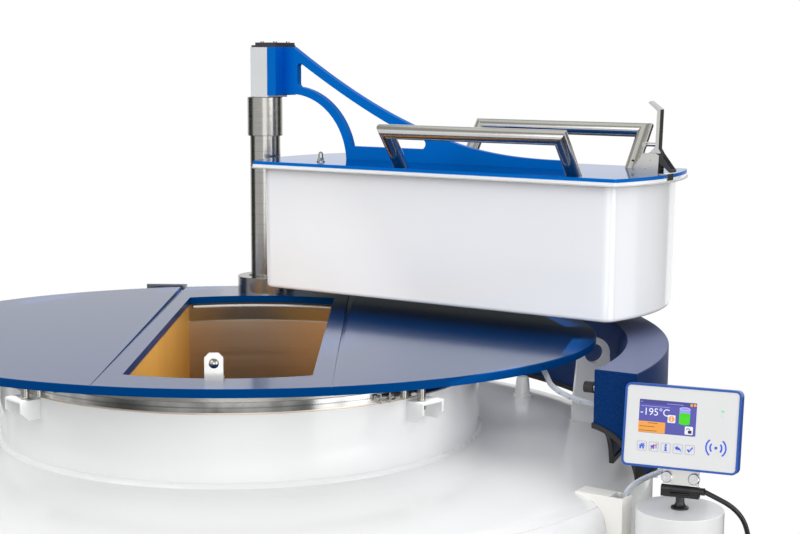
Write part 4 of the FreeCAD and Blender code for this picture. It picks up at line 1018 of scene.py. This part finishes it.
class Hoses(bpy.types.Operator):
    """Draw the two clear hoses, one with its scale rings"""
    bl_idname = "tank.hoses"
    bl_label = "Hoses"

    def execute(self, context):
        clear = clear_tube("clear_tube", (0.68, 0.72, 0.78))
        black, _, _ = plain_finish("scale_black", (0.03, 0.03, 0.035), 0.5)
        for name, points in (("level", level_points()), ("drain", drain_points())):
            curve = tube_curve(name + "_hose_tube", points, HOSE_RADIUS)
            piece = new_piece(name + "_hose_tube", curve, clear, "tank")
            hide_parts(name + "_hose")
        count = int((route_length(level_points()) - MARK_STEP) / MARK_STEP)
        marks = [FIRST_MARK + MARK_STEP * i for i in range(count)]
        below = (-0.6, -1.3, -0.8)
        rings_on_route("hose_scale", level_points(), HOSE_RADIUS - 1.4, marks, 1.1, black, below)
        rings_on_route("drain_rings", drain_points(), HOSE_RADIUS + 0.15, DRAIN_RINGS, 1.6, black)
        return {"FINISHED"}


class DisplayFinish(bpy.types.Operator):
    """Give the display's housing, glass and stand their finishes"""
    bl_idname = "tank.display_finish"
    bl_label = "Display Housing"

    def execute(self, context):
        finishes = context.scene.tank_finishes
        blue = moulded_plastic("frame_blue", (0.0, 0.075, 0.4), 0.32, 0.2)
        paint_nodes(blue, "display_housing")
        glass = moulded_plastic("printed_glass", (0.73, 0.735, 0.74), 0.1, 0.3)
        paint_nodes(glass, "display_glass")
        black = moulded_plastic("stand_black", (0.012, 0.012, 0.013), 0.3, 0.2)
        paint_nodes(black, "display_stand", "cable_glands")
        paint_nodes(hinge_finish("hinge_plate", finishes.bright), "display_hinge")
        turned = ground_steel("screw_steel", (0.66, 0.67, 0.68), (300.0, 300.0, 300.0), (0.16, 0.3))
        paint_nodes(turned, "thumb_screws")
        return {"FINISHED"}


class ScreenContent(bpy.types.Operator):
    """Draw what the screen shows: the reading, the note field, the tank symbol and the small keys"""
    bl_idname = "tank.screen_content"
    bl_label = "Screen"

    def execute(self, context):
        display = context.scene.tank_display
        glow = display.glow
        violet = lit_print("screen_violet", display.screen, glow)
        deep = lit_print("screen_deep", (0.055, 0.055, 0.28), glow)
        white = lit_print("screen_white", (0.85, 0.87, 1.0), glow)
        lilac = lit_print("screen_lilac", (0.32, 0.33, 0.9), glow)
        orange = lit_print("screen_orange", (0.88, 0.36, 0.055), glow)
        green = lit_print("screen_green", (0.05, 0.68, 0.0), glow)
        brown = lit_print("screen_brown", (0.25, 0.12, 0.03), glow)
        black = lit_print("screen_black", (0.01, 0.01, 0.02), 0.0)
        paint_nodes(violet, "display_screen")
        left, low, right, high = SCREEN
        printed("screen_back", [box_outline(left, low, right, high)], violet, 0.05)
        printed("screen_header", [box_outline(left, high - 7.5, right, high)], deep, 0.1)
        printed_text("screen_reading", display.reading, 17.0, (left + 2.0, 17.5), white)
        printed("screen_note", [box_outline(left, low, left + 45.0, low + 18.5)], orange, 0.1)
        lines = [(left + 16.0, low + 15.5, 16.0), (left + 1.5, low + 9.5, 26.0),
                 (left + 1.5, low + 2.5, 30.0)]
        printed("note_lines", [box_outline(x, y, x + w, y + 1.1) for x, y, w in lines], brown, 0.25)
        lines = [(left + 3.0, high - 11.5, 48.0), (left + 46.0, high - 5.5, 28.0),
                 (left + 2.0, high - 4.5, 3.5)]
        printed("header_lines", [box_outline(x, y, x + w, y + 1.0) for x, y, w in lines], lilac, 0.25)
        symbols = [rounded_box(right - 11.0, high - 6.5, right - 7.0, high - 1.5, 1.0),
                   rounded_box(right - 5.5, high - 6.0, right - 1.0, high - 1.5, 1.0)]
        printed("header_symbols", symbols, orange, 0.3)
        x, y = left + 48.5, low + 19.0
        printed("info_key", [rounded_box(x, y, x + 13.0, y + 13.0, 1.4)], white, 0.25)
        printed("info_ring", [disc_outline(x + 6.5, y + 6.5, 5.2, 5.2)], orange, 0.35)
        printed("info_stem", [box_outline(x + 5.7, y + 3.0, x + 7.3, y + 7.4),
                              disc_outline(x + 6.5, y + 9.4, 1.0, 1.0, 12)], white, 0.45)
        x, base, top = left + 76.5, low + 20.0, low + 44.0
        turns = [math.pi - math.pi * i / 14 for i in range(1, 14)]
        bottom = [(x + 9.0 * math.cos(a), base - 2.6 * math.sin(a)) for a in turns]
        body = [(x - 9.0, base)] + bottom + [(x + 9.0, base)]
        level = base + 15.0
        printed("tank_upper", [[(x - 9.0, level), (x + 9.0, level), (x + 9.0, top), (x - 9.0, top)],
                               disc_outline(x, top, 9.0, 2.6)], lilac, 0.25)
        fill = body + [(x + 9.0, level), (x - 9.0, level)]
        printed("tank_fill", [fill, disc_outline(x, level, 9.0, 2.4)], green, 0.35)
        printed("tank_rim", oval_rim(x, top, 9.0, 2.6), white, 0.4)
        key = rounded_box(right - 18.0, low + 2.0, right - 4.5, low + 15.5, 1.8)
        printed("lock_key", [key], white, 0.25)
        printed("lock_body", [box_outline(right - 12.5, low + 4.0, right - 6.5, low + 9.0)]
                + arc_strips(right - 12.5, low + 9.5, 2.0, 1.2, 0.0, 180.0), black, 0.35)
        return {"FINISHED"}


class KeySymbols(bpy.types.Operator):
    """Print the five keys, the wave sign and the two lamps on the glass"""
    bl_idname = "tank.key_symbols"
    bl_label = "Keys"

    def execute(self, context):
        display = context.scene.tank_display
        # The printed ink, key frames, red slash and the unlit lamp glow a little: painted light. Only the
        # green lamp is a real light.
        ink = lit_print("key_ink", display.ink, 0.1)
        grey = lit_print("key_frame_grey", (0.36, 0.36, 0.52), 0.05)
        red = lit_print("key_red", (0.75, 0.035, 0.02), 0.1)
        lamp = lit_print("lamp_green", (0.16, 0.85, 0.42), 0.5)
        off = lit_print("lamp_off", (0.62, 0.66, 0.68), 0.05)
        half = KEY_SIZE / 2
        frames = []
        for i in range(5):
            x, y = KEY_START + KEY_STEP * i, KEY_HEIGHT
            outer = rounded_box(x - half, y - half, x + half, y + half, 2.2)
            inner = rounded_box(x - half + 0.7, y - half + 0.7, x + half - 0.7, y + half - 0.7, 1.6)
            frames += frame_strips(outer, inner)
        printed("key_frames", frames, grey, 0.2)
        signs = []
        for i, sign in enumerate((house_sign(), speaker_sign(), info_sign(), back_sign(), tick_sign())):
            signs += shifted(sign, KEY_START + KEY_STEP * i, KEY_HEIGHT)
        slash = [(-5.8, -4.6), (-5.0, -5.4), (5.6, 4.6), (4.8, 5.4)]
        printed("key_symbols", signs, ink, 0.2)
        printed("mute_slash", shifted([slash], KEY_START + KEY_STEP, KEY_HEIGHT), red, 0.35)
        x, y = WAVE_PLACE
        waves = [disc_outline(x, y, 2.5, 2.5)]
        for radius, spread in ((8.2, 42.0), (15.0, 50.0)):
            for side in (0.0, 180.0):
                waves += arc_strips(x, y, radius, 2.6, side - spread, side + spread, 14)
        printed("wave_sign", waves, ink, 0.2)
        printed("lamp_on", [disc_outline(*LAMPS[0], 2.2, 2.2)], lamp, 0.3)
        printed("lamp_off", [disc_outline(*LAMPS[1], 1.7, 1.7)], off, 0.3)
        return {"FINISHED"}


class Cable(bpy.types.Operator):
    """Lay the display's black cable from the hinge's end to the service column"""
    bl_idname = "tank.cable"
    bl_label = "Cable"

    def execute(self, context):
        black = soft_rubber("cable_rubber", (0.014, 0.014, 0.015), 0.38)
        points = cable_points()
        curve = tube_curve("display_lead", points, CABLE_RADIUS)
        piece = new_piece("display_lead", curve, black, "tank")
        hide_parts("display_cable")
        return {"FINISHED"}


class Studio(bpy.types.Operator):
    """Set the floor, the even white light, the softboxes and the camera"""
    bl_idname = "tank.studio"
    bl_label = "Studio"

    def execute(self, context):
        studio = context.scene.tank_studio
        set_world(studio.sky)
        floor = flat_card("floor", (0.0, 0.0, -0.0005), (0.0, 0.0, 1.0), (36.0, 36.0), floor_white())
        tones = {tone: card_glow("card_" + tone, colour) for tone, colour in CARD_TONES.items()}
        for name, place, size, tone in CARDS:
            level = place[0] == place[1] == 0.0
            facing = Vector((0.0, 0.0, 1.0)) if level else -Vector(place)
            card = flat_card(name, place, facing, size, tones[tone])
            card.visible_camera = False
            card.visible_diffuse = False
            card.visible_shadow = False
            card.visible_transmission = False
        for name, place, target, size, power in (
                ("key_softbox", (-2.6, -2.9, 3.6), (0.0, 0.0, 1.0), 2.4, studio.key),
                ("fill_softbox", (3.4, -2.2, 2.6), (0.2, 0.0, 1.0), 1.8, studio.fill),
                ("top_softbox", (0.3, 0.6, 4.2), (0.0, 0.0, 1.0), 3.0, studio.fill),
                ("low_softbox", (0.3, -5.2, 1.3), (0.0, 0.0, 1.0), 2.6, studio.low),
                ("side_softbox", (3.4, -3.0, 0.8), (0.5, -0.3, 1.0), 2.0, studio.side)):
            add_softbox(name, place, target, size, power)
        for angle in COVER_LAMP_ANGLES:
            turn = math.radians(angle)
            x = NECK_X * MM + COVER_LAMP_RING[0] * math.cos(turn)
            y = COVER_LAMP_RING[1] * math.sin(turn)
            below = (1.15 * x, 1.15 * y, 0.96)
            hide_lamp(add_softbox("cover_light", (x, y, COVER_LAMP_HEIGHT), below, 0.16, studio.under))
        hide_lamp(add_softbox("slot_light", (0.1, -0.15, 1.3), (-0.2, 0.0, 1.05), 0.15, 2.5 * studio.under))
        add_camera(studio.lens)
        context.scene.view_settings.view_transform = "Standard"
        return {"FINISHED"}


class TankPanel(bpy.types.Panel):
    bl_idname = "VIEW3D_PT_storage_tank"
    bl_label = "Storage Tank"
    bl_space_type = "VIEW_3D"
    bl_region_type = "UI"
    bl_category = "Storage Tank"

    def draw(self, context):
        layout = self.layout
        scene = context.scene
        for settings in (scene.tank_finishes, scene.tank_display, scene.tank_studio):
            box = layout.box()
            for key in settings.__annotations__:
                box.prop(settings, key)
        for operator in OPERATORS:
            layout.operator(operator.bl_idname)


OPERATORS = (VesselFinish, CoverFinish, InsideFinish, ThroatBeads, ColumnFinish, LidFinish, HandleScrews,
             HoodFinish, Hoses, DisplayFinish, ScreenContent, KeySymbols, Cable, Studio)
CLASSES = (TankFinishes, TankDisplay, TankStudio) + OPERATORS + (TankPanel,)


def register():
    for item in CLASSES:
        bpy.utils.register_class(item)
    bpy.types.Scene.tank_finishes = PointerProperty(type=TankFinishes)
    bpy.types.Scene.tank_display = PointerProperty(type=TankDisplay)
    bpy.types.Scene.tank_studio = PointerProperty(type=TankStudio)


def unregister():
    del bpy.types.Scene.tank_finishes
    del bpy.types.Scene.tank_display
    del bpy.types.Scene.tank_studio
    for item in reversed(CLASSES):
        bpy.utils.unregister_class(item)


def main():
    register()
    for operator in OPERATORS:
        family, verb = operator.bl_idname.split(".")
        getattr(getattr(bpy.ops, family), verb)()


if __name__ == "__main__":
    main()
